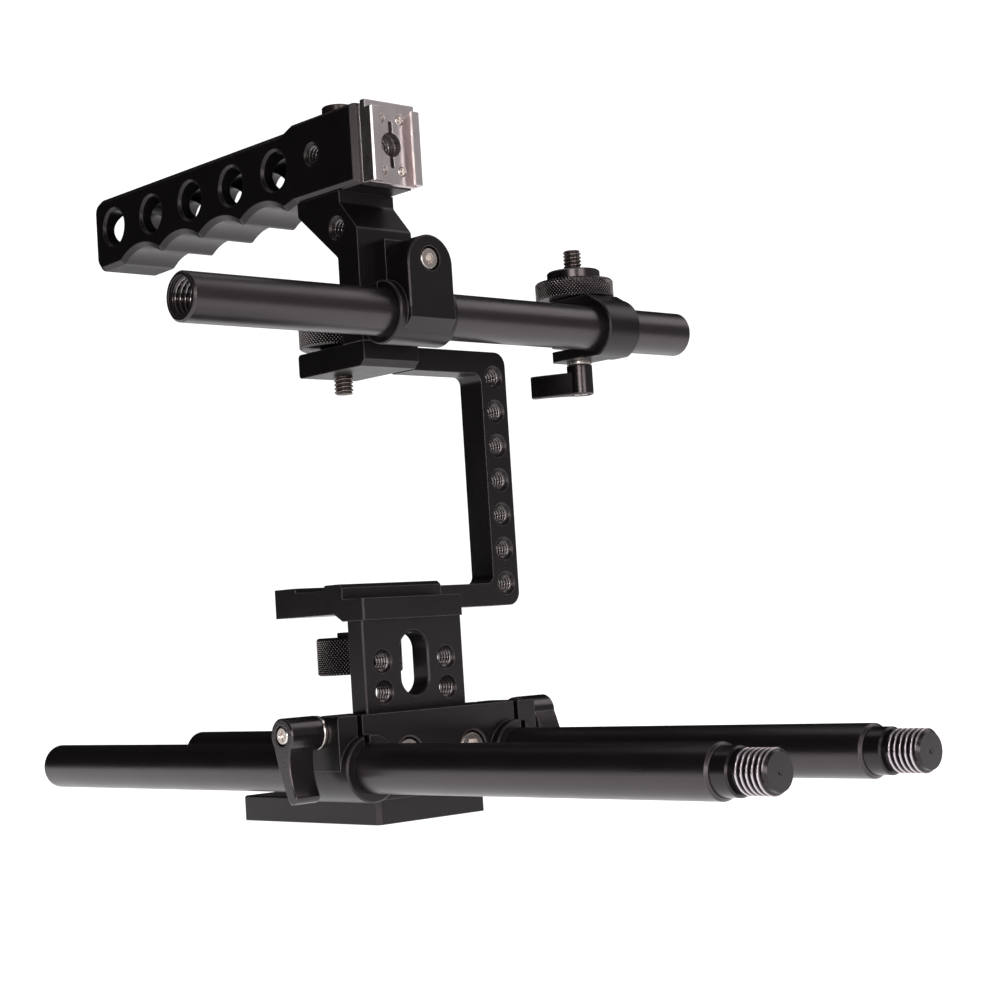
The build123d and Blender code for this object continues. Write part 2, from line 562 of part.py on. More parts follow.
def handle():
    last_cusp = GRIP_FIRST_CUSP + GRIP_COUNT * GRIP_PITCH
    edges = grip_line()
    edges.append(Polyline(
        (last_cusp, GRIP_CUSP_Z), (HANDLE_REAR, GRIP_CUSP_Z - 0.6), (HANDLE_REAR, HANDLE_BACK_TOP),
        (HANDLE_STEP_END, HANDLE_BACK_TOP), (HANDLE_STEP_Y, HANDLE_TOP), (HANDLE_FRONT, HANDLE_TOP),
        (HANDLE_FRONT, HANDLE_UNDER), (SHOULDER_REAR + 0.6, HANDLE_UNDER), (GRIP_FIRST_CUSP, GRIP_CUSP_Z)))
    face = make_face(edges)
    corners = face.vertices().sort_by(Axis.X)[-2:]
    face = fillet(corners, 5.0)
    cusps = [corner for corner in face.vertices()
             if abs(corner.Y - GRIP_CUSP_Z) < 0.01 and corner.X < last_cusp + 0.1]
    face = fillet(cusps, 2.5)
    placed = Plane.YZ.offset(-HANDLE_HALF) * face
    grip = extrude(placed, amount=2 * HANDLE_HALF, dir=(1, 0, 0))
    grip = chamfer(grip.edges().filter_by(Axis.Z).sort_by(Axis.Y)[:2], HANDLE_CHAMFER)
    low_edges = [edge for edge in grip.edges()
                 if abs(abs(edge.center().X) - HANDLE_HALF) < 0.05 and edge.center().Z < 204]
    grip = chamfer(low_edges, 1.6)
    high_edges = [edge for edge in grip.edges()
                  if abs(abs(edge.center().X) - HANDLE_HALF) < 0.05 and edge.center().Z > 223]
    grip = chamfer(high_edges, 0.8)
    for index in range(GRIP_HOLE_COUNT):
        y = GRIP_HOLE_FIRST + index * GRIP_PITCH
        grip -= drum_x(y, GRIP_HOLE_Z, GRIP_HOLE_RADIUS, -HANDLE_HALF - 1, HANDLE_HALF + 1)
        for side in (-1, 1):
            grip -= mouth_x(y, GRIP_HOLE_Z, GRIP_HOLE_RADIUS, side * HANDLE_HALF, 0.8, side)
    grip -= drum_y(0, GRIP_HOLE_Z, GRIP_BORE_RADIUS, GRIP_BORE_END, HANDLE_REAR + 1)
    grip -= mouth_y(0, GRIP_HOLE_Z, GRIP_BORE_RADIUS, HANDLE_REAR, 0.6, 1)
    for side in (-1, 1):
        tap_x = sorted((side * (HANDLE_HALF - HANDLE_TAP_DEPTH), side * (HANDLE_HALF + 1)))
        grip -= drum_x(HANDLE_BOLT_Y, HANDLE_TAP_Z, QUARTER_INCH_RADIUS, tap_x[0], tap_x[1])
        grip -= mouth_x(HANDLE_BOLT_Y, HANDLE_TAP_Z, QUARTER_INCH_RADIUS, side * HANDLE_HALF, 0.7, side)
    for x, z in shoe_screw_places():
        grip -= drum_y(x, z, 0.95, HANDLE_FRONT - 1, HANDLE_FRONT + 6)
    grip -= drum_y(0, SHOE_Z, QUARTER_INCH_RADIUS, HANDLE_FRONT - 1, HANDLE_FRONT + 16)
    grip -= drum_z(0, HANDLE_BOLT_Y, 3.2, HANDLE_UNDER - 1, HANDLE_TOP + 1)
    return grip - drum_z(0, DOWEL_Y, DOWEL_RADIUS, HANDLE_UNDER - 1, HANDLE_UNDER + 5)


def handle_bolt():
    bolt = socket_screw(2.95, HANDLE_TOP - HANDLE_UNDER + 11.0, 5.2, HANDLE_BOLT_HEAD, 4.0)
    return [Pos(0, HANDLE_BOLT_Y, HANDLE_TOP) * bolt]


def handle_dowel():
    pin = drum_z(0, DOWEL_Y, DOWEL_RADIUS, HANDLE_UNDER - 4.8, HANDLE_UNDER + 4.8)
    return chamfer(pin.edges(), 0.3)


def shoe_keyhole(y0, y1):
    """Round opening with a slot above and below it, cut through the shoe and its shim."""
    slot_face = Pos(0, SHOE_Z) * Rot(0, 0, 90) * SlotOverall(KEYHOLE_HEIGHT, KEYHOLE_SLOT)
    return front_outline(slot_face, y0, y1) + drum_y(0, SHOE_Z, KEYHOLE_RADIUS, y0, y1)


def shoe_screw_places():
    return [(side * SHOE_SCREW_X, SHOE_Z + level * SHOE_SCREW_Z) for side in (-1, 1) for level in (-1, 1)]


def cold_shoe_shim():
    y0 = HANDLE_FRONT - SHIM_THICK
    shim = block(-SHIM_HALF_WIDTH, SHIM_HALF_WIDTH, y0, HANDLE_FRONT, SHOE_BOTTOM + 0.4, SHOE_TOP - 1.0)
    shim -= shoe_keyhole(y0 - 1, HANDLE_FRONT + 1)
    for x, z in shoe_screw_places():
        shim -= drum_y(x, z, 1.2, y0 - 1, HANDLE_FRONT + 1)
    return shim


def cold_shoe():
    back = HANDLE_FRONT - SHIM_THICK - SHOE_GAP
    floor = back - SHOE_BASE
    lip_back = floor - SHOE_CHANNEL_DEPTH
    front = lip_back - SHOE_LIP
    shoe = block(-SHOE_HALF_WIDTH, SHOE_HALF_WIDTH, front, back, SHOE_BOTTOM, SHOE_TOP)
    shoe = chamfer(shoe.edges().filter_by(Axis.Z).sort_by(Axis.Y)[:2], 0.5)
    z0 = SHOE_BOTTOM - 1
    z1 = SHOE_TOP + 1
    shoe -= block(-SHOE_CHANNEL_HALF, SHOE_CHANNEL_HALF, lip_back, floor, z0, z1)
    shoe -= block(-SHOE_MOUTH_HALF, SHOE_MOUTH_HALF, front - 1, lip_back + 0.1, z0, z1)
    shoe -= block(-SHOE_HALF_WIDTH - 1, SHOE_HALF_WIDTH + 1, front - 1, floor, SHOE_RAIL_TOP, z1)
    shoe += block(-8.0, 8.0, back - 0.1, HANDLE_FRONT - SHIM_THICK, SHOE_BOTTOM + 1.2, SHOE_TOP - 1.8)
    shoe -= shoe_keyhole(front - 1, HANDLE_FRONT)
    for x, z in shoe_screw_places():
        shoe -= drum_y(x, z, 1.0, front - 1, HANDLE_FRONT)
        shoe -= drum_y(x, z, 1.65, floor - 1, floor + 0.9)
    return shoe


def cold_shoe_screws():
    floor = HANDLE_FRONT - SHIM_THICK - SHOE_GAP - SHOE_BASE
    screw = Rot(90, 0, 0) * cross_screw(0.9, 7.2, 1.6, 0.85, 0.5)
    return [Pos(x, floor + 0.9, z) * screw for x, z in shoe_screw_places()]


def top_rod_clamp():
    collar = drum_x(TOP_ROD_Y, TOP_ROD_Z, TOP_COLLAR_RADIUS, -TOP_COLLAR_HALF, TOP_COLLAR_HALF)
    collar = chamfer(collar.edges(), EDGE)
    boss = block(-BOSS_HALF, BOSS_HALF, TOP_SLIT_REAR, FOOT_FRONT, TOP_ROD_Z, BOSS_TOP)
    boss = chamfer(boss.faces().sort_by(Axis.Z)[-1].edges(), EDGE)
    rounded = Pos(0, TAB_TOP_CENTRE) * Circle(TAB_HALF)
    straight = Pos(0, (TAB_TOP_CENTRE + TOP_ROD_Z) / 2) * Rectangle(2 * TAB_HALF, TAB_TOP_CENTRE - TOP_ROD_Z)
    tab = front_outline(rounded + straight, TAB_FRONT, TOP_SLIT_FRONT)
    front_face = tab.faces().sort_by(Axis.Y)[0]
    rim = [edge for edge in front_face.edges() if edge.center().Z > TOP_ROD_Z + 1]
    tab = chamfer(rim, EDGE)
    skirt = side_outline([(TAB_FRONT, TOP_ROD_Z + 0.1), (TAB_FRONT, TOP_ROD_Z - 3.0),
                          (TOP_ROD_Y - 7.2, TOP_ROD_Z - 6.9), (TOP_ROD_Y, TOP_ROD_Z + 0.1)], TAB_HALF)
    clamp = collar + boss + tab + skirt
    clamp -= block(-20, 20, TOP_SLIT_FRONT, TOP_SLIT_REAR, TOP_ROD_Z, BOSS_TOP + 5)
    clamp -= drum_x(TOP_ROD_Y, TOP_ROD_Z, ROD_RADIUS + RUNNING_GAP, -20, 20)
    clamp -= drum_y(0, TOP_SCREW_Z, 2.1, TAB_FRONT - 1, TOP_SLIT_FRONT + 1)
    clamp -= drum_y(0, TOP_SCREW_Z, 3.9, TAB_FRONT - 1, TAB_FRONT + 4.4)
    clamp -= drum_y(0, TOP_SCREW_Z, 2.0, TOP_SLIT_REAR - 1, TOP_SLIT_REAR + 8.0)
    for side in (-1, 1):
        clamp -= drum_y(side * BOSS_SCREW_X, BOSS_SCREW_Z, 2.0, FOOT_FRONT - 7.0, FOOT_FRONT + 1)
    return clamp


def top_clamp_screw():
    screw = Rot(90, 0, 0) * socket_screw(1.95, 13.6, 3.5, 4.0, 3.0)
    return [Pos(0, TAB_FRONT + 4.4, TOP_SCREW_Z) * screw]


def top_rod():
    tube = drum_x(TOP_ROD_Y, TOP_ROD_Z, ROD_RADIUS, TOP_ROD_LEFT, TOP_ROD_RIGHT)
    tube = chamfer(tube.edges(), 0.6)
    tube -= drum_x(TOP_ROD_Y, TOP_ROD_Z, ROD_CORE_RADIUS, TOP_ROD_LEFT - 1, TOP_ROD_RIGHT + 1)
    left_bore_end = TOP_ROD_LEFT + ROD_THREAD_DEPTH
    right_bore_end = TOP_ROD_RIGHT - ROD_THREAD_DEPTH
    tube -= drum_x(TOP_ROD_Y, TOP_ROD_Z, ROD_THREAD_RADIUS, TOP_ROD_LEFT - 1, left_bore_end)
    tube -= drum_x(TOP_ROD_Y, TOP_ROD_Z, ROD_THREAD_RADIUS, right_bore_end, TOP_ROD_RIGHT + 1)
    return tube


def accessory_clamp():
    x0 = STUD_X - ACCESSORY_HALF
    x1 = STUD_X + ACCESSORY_HALF
    ring = drum_x(TOP_ROD_Y, TOP_ROD_Z, ACCESSORY_RADIUS, x0, x1)
    ring = chamfer(ring.edges(), EDGE)
    body = block(x0, x1, TOP_ROD_Y, STUD_Y + ACCESSORY_HALF, ACCESSORY_UNDER, ACCESSORY_TOP)
    body = fillet(body.edges().filter_by(Axis.Z).group_by(Axis.Y)[-1], ACCESSORY_CORNER)
    shoulder = side_outline([(TOP_ROD_Y - 6.0, TOP_ROD_Z + 8.2), (TOP_ROD_Y, ACCESSORY_TOP),
                             (TOP_ROD_Y + 0.1, TOP_ROD_Z), (TOP_ROD_Y - 6.0, TOP_ROD_Z)], ACCESSORY_HALF)
    clamp = ring + body + Pos(STUD_X, 0, 0) * shoulder
    clamp -= block(x0 - 1, x1 + 1, TOP_ROD_Y - 20, STUD_Y + 20, ACCESSORY_UNDER - 5, ACCESSORY_UNDER - 0.4)
    clamp -= drum_x(TOP_ROD_Y, TOP_ROD_Z, ROD_RADIUS + RUNNING_GAP, x0 - 1, x1 + 1)
    slit_top = ACCESSORY_SLIT_Z + ACCESSORY_SLIT
    clamp -= block(x0 - 1, x1 + 1, TOP_ROD_Y + 3.0, STUD_Y + 20, ACCESSORY_SLIT_Z, slit_top)
    clamp -= drum_z(STUD_X, STUD_Y, LEVER_SCREW_RADIUS + 0.1, ACCESSORY_UNDER - 1, slit_top)
    clamp -= drum_z(STUD_X, STUD_Y, LEVER_SCREW_RADIUS + RUNNING_GAP, slit_top - 0.1, slit_top + 7.5)
    return clamp - drum_z(STUD_X, STUD_Y, SHANK_RADIUS, ACCESSORY_TOP - 7.0, ACCESSORY_TOP + 1)


def accessory_stud():
    """Stud with a full thread over the lock disc and a slimmer end held in the clamp."""
    thread = drum_z(STUD_X, STUD_Y, SCREW_RADIUS, DISC_TOP + 0.15, STUD_TOP)
    thread = chamfer(thread.edges().sort_by(Axis.Z)[-1], 0.6)
    return thread + drum_z(STUD_X, STUD_Y, SHANK_RADIUS, ACCESSORY_TOP - 6.8, STUD_TOP - 1.0)


def accessory_lock_disc():
    knurled = drum_z(STUD_X, STUD_Y, DISC_RADIUS, DISC_BOTTOM, DISC_KNURL_TOP)
    knurled = chamfer(knurled.edges(), 0.7)
    boss = drum_z(STUD_X, STUD_Y, DISC_BOSS_RADIUS, DISC_KNURL_TOP - 0.1, DISC_TOP)
    boss = chamfer(boss.edges().sort_by(Axis.Z)[-1], 0.5)
    return knurled + boss - drum_z(STUD_X, STUD_Y, SCREW_RADIUS + RUNNING_GAP, DISC_BOTTOM - 1, DISC_TOP + 1)


def lever_shape(size):
    """Clamp lever with its hub axis on Z, washer side at z = 0, arm along +X."""
    hub_length = LEVER_HUB_LENGTH * size
    hub = drum_z(0, 0, LEVER_HUB_RADIUS * size, 0, hub_length)
    hub = chamfer(hub.edges(), 0.4)
    front = ThreePointArc((2.2, 3.6), (9.5, 1.3), (17.4, 2.1))
    tip = ThreePointArc((17.4, 2.1), (19.0, 0.1), (17.2, -1.7))
    rear = ThreePointArc((17.2, -1.7), (10.0, -3.3), (0.8, -4.2))
    root = Line((0.8, -4.2), (2.2, 3.6))
    outline = scale(make_face([front, tip, rear, root]), size)
    outline = fillet([corner for corner in outline.vertices() if corner.X > 15 * size], 0.8)
    arm_bottom = (LEVER_HUB_LENGTH - LEVER_ARM_WIDTH) * size
    arm = extrude(Pos(0, 0, arm_bottom) * outline, amount=LEVER_ARM_WIDTH * size)
    flat_edges = arm.edges().filter_by(Plane.XY)
    arm = chamfer([edge for edge in flat_edges if edge.center().X > 2], 0.3)
    lever = hub + arm
    lever -= drum_z(0, 0, LEVER_SCREW_RADIUS, -1, hub_length + 1)
    return lever - drum_z(0, 0, LEVER_HEAD_RADIUS + 0.2, hub_length - LEVER_RECESS, hub_length + 1)


def lever_screw_shape(size, reach):
    """Cross-head screw of a clamp lever in the lever's own position, going reach below its washer side."""
    head_z = LEVER_HUB_LENGTH * size - LEVER_RECESS
    shank = head_z + reach
    return Pos(0, 0, head_z) * cross_screw(LEVER_SCREW_RADIUS - 0.02, shank, LEVER_HEAD_RADIUS, 1.5, 0.9)


def washer_shape(size):
    """Plain washer whose top face is at z = 0."""
    ring = drum_z(0, 0, LEVER_HUB_RADIUS * size - 0.1, -LEVER_WASHER_THICK, 0)
    ring = chamfer(ring.edges(), 0.2)
    return ring - drum_z(0, 0, LEVER_SCREW_RADIUS + 0.1, -LEVER_WASHER_THICK - 1, 1)


def left_lever_place():
    """Hub axis towards -X, arm down with its tip leaning to the front."""
    x = -EAR_OUTER - LEVER_WASHER_THICK
    plane = Plane(origin=(x, LEVER_Y, LEVER_Z), z_dir=(-1, 0, 0), x_dir=arm_direction(LEFT_LEVER_LEAN))
    return plane.location


def right_lever_place():
    """Hub axis towards +X, arm swung to the front."""
    x = EAR_OUTER + LEVER_WASHER_THICK
    plane = Plane(origin=(x, LEVER_Y, LEVER_Z), z_dir=(1, 0, 0), x_dir=arm_direction(RIGHT_LEVER_LEAN))
    return plane.location


def arm_direction(lean):
    """Direction of a lower lever's arm, lean degrees forward of straight down."""
    angle = math.radians(lean)
    return (0, -math.sin(angle), -math.cos(angle))


def accessory_lever_place():
    """Hub axis straight down under the accessory clamp."""
    angle = math.radians(ACCESSORY_LEVER_TURN)
    z = ACCESSORY_UNDER - LEVER_WASHER_THICK
    plane = Plane(origin=(STUD_X, STUD_Y, z), z_dir=(0, 0, -1), x_dir=(math.cos(angle), math.sin(angle), 0))
    return plane.location


def save(name, *solids):
    shape = solids[0] if len(solids) == 1 else Compound(children=list(solids))
    export_step(shape, f"parts/{name}.step")


def main():
    os.makedirs("parts", exist_ok=True)
    rod_x = ROD_SPACING / 2
    camera_washer_bottom = PLATE_UNDER - CAMERA_SCREW_DROP - KNOB_WASHER_THICK
    camera_knob_bottom = camera_washer_bottom - KNOB_HEIGHT
    top_knob_bottom = FOOT_TOP + KNOB_WASHER_THICK
    lever_reach = LEVER_WASHER_THICK + EAR_OUTER - 21.5
    accessory_reach = LEVER_WASHER_THICK + ACCESSORY_SLIT_Z - ACCESSORY_UNDER + ACCESSORY_SLIT + 6.8

    save("base_plate", base_plate())
    save("base_plate_screws", *base_plate_screws())
    save("rod_block", rod_block())
    for name, x, front in (("left_rod", -rod_x, LEFT_ROD_FRONT), ("right_rod", rod_x, RIGHT_ROD_FRONT)):
        save(name, rod(x, front))
        save(name + "_connector", rod_connector(x, front))
    save("riser_plate", riser_plate())
    save("riser_bolts", *riser_bolts())
    save("camera_plate", camera_plate())
    save("camera_plate_screws", *camera_plate_screws())
    save("camera_knob", knob(camera_knob_bottom, 1))
    save("camera_knob_washer", knob_washer(camera_washer_bottom))
    save("camera_screw", captive_screw(PAD_TOP, camera_knob_bottom + 3.2))
    save("side_bracket", side_bracket())
    save("bracket_lower_screws", *bracket_lower_screws())
    save("bracket_upper_screws", *bracket_upper_screws())
    save("riser_foot", riser_foot())
    save("handle_riser", handle_riser())
    save("boss_screws", *boss_screws())
    save("handle", handle())
    save("handle_bolt", *handle_bolt())
    save("handle_dowel", handle_dowel())
    save("cold_shoe", cold_shoe())
    save("cold_shoe_shim", cold_shoe_shim())
    save("cold_shoe_screws", *cold_shoe_screws())
    save("top_knob", knob(top_knob_bottom, -1))
    save("top_knob_washer", knob_washer(FOOT_TOP))
    save("top_screw", captive_screw(FOOT_UNDER - SCREW_REACH, top_knob_bottom + KNOB_HEIGHT - 3.2))
    save("top_rod_clamp", top_rod_clamp())
    save("top_clamp_screw", *top_clamp_screw())
    save("top_rod", top_rod())
    save("accessory_clamp", accessory_clamp())
    save("accessory_stud", accessory_stud())
    save("accessory_lock_disc", accessory_lock_disc())
    levers = (("left", left_lever_place(), LEVER_SIZE, lever_reach),
              ("right", right_lever_place(), LEVER_SIZE, lever_reach),
              ("accessory", accessory_lever_place(), ACCESSORY_LEVER_SIZE, accessory_reach))
    for name, place, size, reach in levers:
        save(name + "_lever", place * lever_shape(size))
        save(name + "_lever_screw", place * lever_screw_shape(size, reach))
        save(name + "_lever_washer", place * washer_shape(size))


main()
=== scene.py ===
"""Looks of a cinema camera rig: finishes, screw threads, knurled knobs and the stage."""
import json
import math

import bpy
import numpy as np
from bpy.props import FloatProperty, FloatVectorProperty, IntProperty, PointerProperty
from bpy.types import Operator, Panel, PropertyGroup
from mathutils import Matrix, Vector


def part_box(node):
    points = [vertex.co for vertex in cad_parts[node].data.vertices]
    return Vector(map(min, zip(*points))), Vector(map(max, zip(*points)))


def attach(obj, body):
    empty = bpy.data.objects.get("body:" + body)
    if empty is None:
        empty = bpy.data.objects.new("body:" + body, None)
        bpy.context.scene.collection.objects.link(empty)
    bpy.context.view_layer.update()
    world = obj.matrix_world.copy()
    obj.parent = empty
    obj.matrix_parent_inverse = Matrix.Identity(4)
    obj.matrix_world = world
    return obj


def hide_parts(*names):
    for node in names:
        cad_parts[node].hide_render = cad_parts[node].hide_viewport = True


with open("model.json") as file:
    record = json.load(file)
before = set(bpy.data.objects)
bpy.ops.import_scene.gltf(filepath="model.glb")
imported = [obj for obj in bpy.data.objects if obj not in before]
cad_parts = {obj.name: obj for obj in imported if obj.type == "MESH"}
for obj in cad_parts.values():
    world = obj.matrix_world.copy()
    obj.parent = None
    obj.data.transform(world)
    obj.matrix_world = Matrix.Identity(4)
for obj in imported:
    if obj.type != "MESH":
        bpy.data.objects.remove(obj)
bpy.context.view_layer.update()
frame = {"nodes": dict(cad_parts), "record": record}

bl_info = {
    "name": "Camera Rig Looks",
    "version": (1, 0, 0),
    "blender": (4, 5, 0),
    "location": "View3D > Sidebar > Rig",
    "description": "Finishes, threads, knurling and a studio for a cinema camera rig",
    "category": "Object",
}

MM = 0.001
FULL_TURN = 2.0 * math.pi
SLOT_OF = {part["node"]: part["material_slot"] for part in frame["record"]["subparts"]}

UP, DOWN = (0.0, 0.0, 1.0), (0.0, 0.0, -1.0)

# Surface
SPECULAR_TINT = (1.0, 0.90, 0.92, 1.0)
NOISE_LOW, NOISE_HIGH = 0.3, 0.7
GLOSS_LOW, GLOSS_HIGH = 0.9, 1.12
# Edge mask for the lighter edge colour, partly rubbed metal and partly a painted highlight: full at a
# dot of rounded and true normal of 0.80, none at 0.97
EDGE_RUB_HIGHLIGHT_FULL, EDGE_RUB_HIGHLIGHT_NONE = 0.80, 0.97
RUB_START = 0.65
BEVEL_SAMPLES = 4

# Threads and knurls
ZONE_SLACK = 1e-7
ROOT_FLAT, FLANK = 0.16, 0.64
SLEEVE_GAP, SLEEVE_WALL = 0.012 * MM, 0.03 * MM
CAMERA_DEPTH, ROD_DEPTH = 0.56 * MM, 0.95 * MM
CREST_SHARE = 1.15
KNOB_SHARP = 20.0

# Screws and knobs
THREAD_RADIUS, SHANK_RADIUS, TIP = 3.1 * MM, 2.5 * MM, 0.5 * MM
SCREW_RUN, STUD_RUN = 5.7 * MM, 7.15 * MM
KNOB_MARGIN = 0.63 * MM

# Tapped holes, in millimetres
RISER_X, RISER_Z = (-13.0, 13.0), (39.9, 49.4)
BRACKET_FIRST, BRACKET_PITCH, BRACKET_HOLES = (49.7, -20.7, 72.3), 11.54, 7
HANDLE_SIDE_X, HANDLE_SIDE_Y, HANDLE_SIDE_Z = 11.5, -8.2, 213.6

# Stage
FLOOR_REACH, FLOOR_ROWS, FLOOR_DROP = 0.62, 9, -0.0002
LIT_SIDE = (0.62, -0.76, 0.20)
LIT_COLOUR = (1.0, 0.95, 0.96, 1.0)
AIM = (0.0, -0.03, 0.11)
SENSOR_WIDTH = 36.0


class RigFinishSettings(PropertyGroup):
    """Colours and surface detail of the metals and plastics."""

    black_colour: FloatVectorProperty(
        name="Anodised black", description="Colour of the blasted black aluminium",
        default=(0.0042, 0.0036, 0.0040), subtype="COLOR", min=0.0, max=1.0)
    rod_colour: FloatVectorProperty(
        name="Rod black", description="Colour of the satin rods",
        default=(0.0060, 0.0048, 0.0053), subtype="COLOR", min=0.0, max=1.0)
    lever_colour: FloatVectorProperty(
        name="Lever black", description="Colour of the glossy clamp levers",
        default=(0.0030, 0.0027, 0.0029), subtype="COLOR", min=0.0, max=1.0)
    steel_colour: FloatVectorProperty(
        name="Stainless steel", description="Colour of the bright screws and washers",
        default=(0.66, 0.61, 0.57), subtype="COLOR", min=0.0, max=1.0)
    nickel_colour: FloatVectorProperty(
        name="Nickel plate", description="Colour of the accessory shoe",
        default=(0.74, 0.69, 0.69), subtype="COLOR", min=0.0, max=1.0)
    oxide_colour: FloatVectorProperty(
        name="Oxide steel", description="Colour of the dark steel screws",
        default=(0.045, 0.038, 0.036), subtype="COLOR", min=0.0, max=1.0)
    nylon_colour: FloatVectorProperty(
        name="Black nylon", description="Colour of the knob washers",
        default=(0.013, 0.013, 0.014), subtype="COLOR", min=0.0, max=1.0)
    grain_size: FloatProperty(
        name="Blast grain", description="Width of one pit of the bead blasting",
        default=0.00040, unit="LENGTH", min=0.00005, max=0.002)
    grain_depth: FloatProperty(
        name="Blast depth", description="Depth of the bead blasting",
        default=0.000050, unit="LENGTH", min=0.0, max=0.0002)
    edge_width: FloatProperty(
        name="Edge break", description="Width of the rounding that catches light on the edges",
        default=0.00045, unit="LENGTH", min=0.0, max=0.001)


class RigThreadSettings(PropertyGroup):
    """Screw threads, cut into the studs and into the holes."""

    camera_pitch: FloatProperty(
        name="Camera thread pitch", description="Pitch of the 1/4-20 threads",
        default=0.00127, unit="LENGTH", min=0.0005, max=0.003)
    tripod_pitch: FloatProperty(
        name="Tripod thread pitch", description="Pitch of the 3/8-16 thread",
        default=0.0015875, unit="LENGTH", min=0.0005, max=0.003)
    rod_pitch: FloatProperty(
        name="Rod thread pitch", description="Pitch of the M12 rod threads",
        default=0.00175, unit="LENGTH", min=0.0005, max=0.004)
    columns: IntProperty(
        name="Thread columns", description="Grid columns round one thread",
        default=72, min=24, max=180)
    rows: IntProperty(
        name="Rows in a pitch", description="Grid rows along one pitch", default=16, min=8, max=32)


class RigKnurlSettings(PropertyGroup):
    """Diamond knurling of the knobs and the lock disc."""

    diamonds: IntProperty(
        name="Diamonds", description="Diamonds round one knob", default=72, min=24, max=120)
    height: FloatProperty(
        name="Diamond height", description="Height of one diamond along the axis",
        default=0.0013, unit="LENGTH", min=0.0005, max=0.004)
    depth: FloatProperty(
        name="Knurl depth", description="Depth of the grooves between the diamonds",
        default=0.00050, unit="LENGTH", min=0.0001, max=0.001)
    steps: IntProperty(
        name="Steps", description="Grid steps in half a diamond", default=3, min=2, max=6)


class RigStageSettings(PropertyGroup):
    """Floor, lights and camera of the studio."""

    floor_colour: FloatVectorProperty(
        name="Floor", description="Colour of the floor", default=(0.93, 0.93, 0.93),
        subtype="COLOR", min=0.0, max=1.0)
    floor_glow: FloatProperty(
        name="Floor glow", description="Light that the lit floor sheet gives",
        default=1.15, min=0.0, max=3.0)
    wall_glow: FloatProperty(
        name="Wall glow", description="Brightness of the white studio behind the rig",
        default=1.15, min=0.0, max=3.0)
    room_front: FloatProperty(
        name="Room in front", description="Brightness of the room on the lit side",
        default=0.28, min=0.0, max=3.0)
    room_back: FloatProperty(
        name="Room behind", description="Brightness of the room on the dark side",
        default=0.012, min=0.0, max=3.0)
    front_power: FloatProperty(
        name="Front box", description="Power of the soft box in front",
        default=6.0, unit="POWER", min=0.0, max=200.0)
    side_power: FloatProperty(
        name="Side box", description="Power of the soft box on the right",
        default=3.0, unit="POWER", min=0.0, max=200.0)
    top_power: FloatProperty(
        name="Top box", description="Power of the soft box overhead",
        default=3.0, unit="POWER", min=0.0, max=200.0)
    near_power: FloatProperty(
        name="Near box", description="Power of the soft box beside the camera",
        default=8.0, unit="POWER", min=0.0, max=200.0)
    camera_place: FloatVectorProperty(
        name="Camera place", description="Where the camera stands",
        default=(-0.41486, -0.51983, 0.05576), subtype="TRANSLATION", unit="LENGTH")
    camera_turn: FloatVectorProperty(
        name="Camera turn", description="Tilt above the ground, roll and heading of the camera",
        default=(math.radians(93.732), math.radians(-3.647), math.radians(-42.950)),
        subtype="EULER")
    lens: FloatProperty(
        name="Lens", description="Focal length of the lens in mm on a 36 mm sensor",
        default=73.37, min=10.0, max=300.0)


# Node helpers

def new_material(name):
    """Material with a Principled shader and its output; gives the material, nodes, links, shader."""
    material = bpy.data.materials.new(name)
    material.use_nodes = True
    tree = material.node_tree
    tree.nodes.clear()
    shader = tree.nodes.new("ShaderNodeBsdfPrincipled")
    output = tree.nodes.new("ShaderNodeOutputMaterial")
    tree.links.new(shader.outputs["BSDF"], output.inputs["Surface"])
    return material, tree.nodes, tree.links, shader


def noise(nodes, links, place, size, detail=2.0, roughness=0.55):
    """Noise whose features are about `size` metres wide, on Object coordinates."""
    texture = nodes.new("ShaderNodeTexNoise")
    texture.inputs["Scale"].default_value = 1.0 / size
    texture.inputs["Detail"].default_value = detail
    texture.inputs["Roughness"].default_value = roughness
    links.new(place, texture.inputs["Vector"])
    return texture.outputs["Fac"]


def spread(nodes, links, value, from_low, from_high, to_low, to_high):
    """Straight-line map of a value from one range to another, held at both ends."""
    node = nodes.new("ShaderNodeMapRange")
    for name, number in (("From Min", from_low), ("From Max", from_high),
                         ("To Min", to_low), ("To Max", to_high)):
        node.inputs[name].default_value = number
    links.new(value, node.inputs["Value"])
    return node.outputs["Result"]


def mixed(nodes, links, factor, first, second):
    """Colour between two colours; a colour is a tuple or the output of a node."""
    node = nodes.new("ShaderNodeMix")
    node.data_type = "RGBA"
    links.new(factor, node.inputs["Factor"])
    for name, colour in (("A", first), ("B", second)):
        socket = [s for s in node.inputs if s.name == name and s.type == "RGBA"][0]
        if isinstance(colour, tuple):
            socket.default_value = colour
        else:
            links.new(colour, socket)
    return [s for s in node.outputs if s.type == "RGBA"][0]


def shade(colour, factor):
    """The colour times a factor, as a shader colour."""
    return tuple(min(1.0, channel * factor) for channel in colour) + (1.0,)


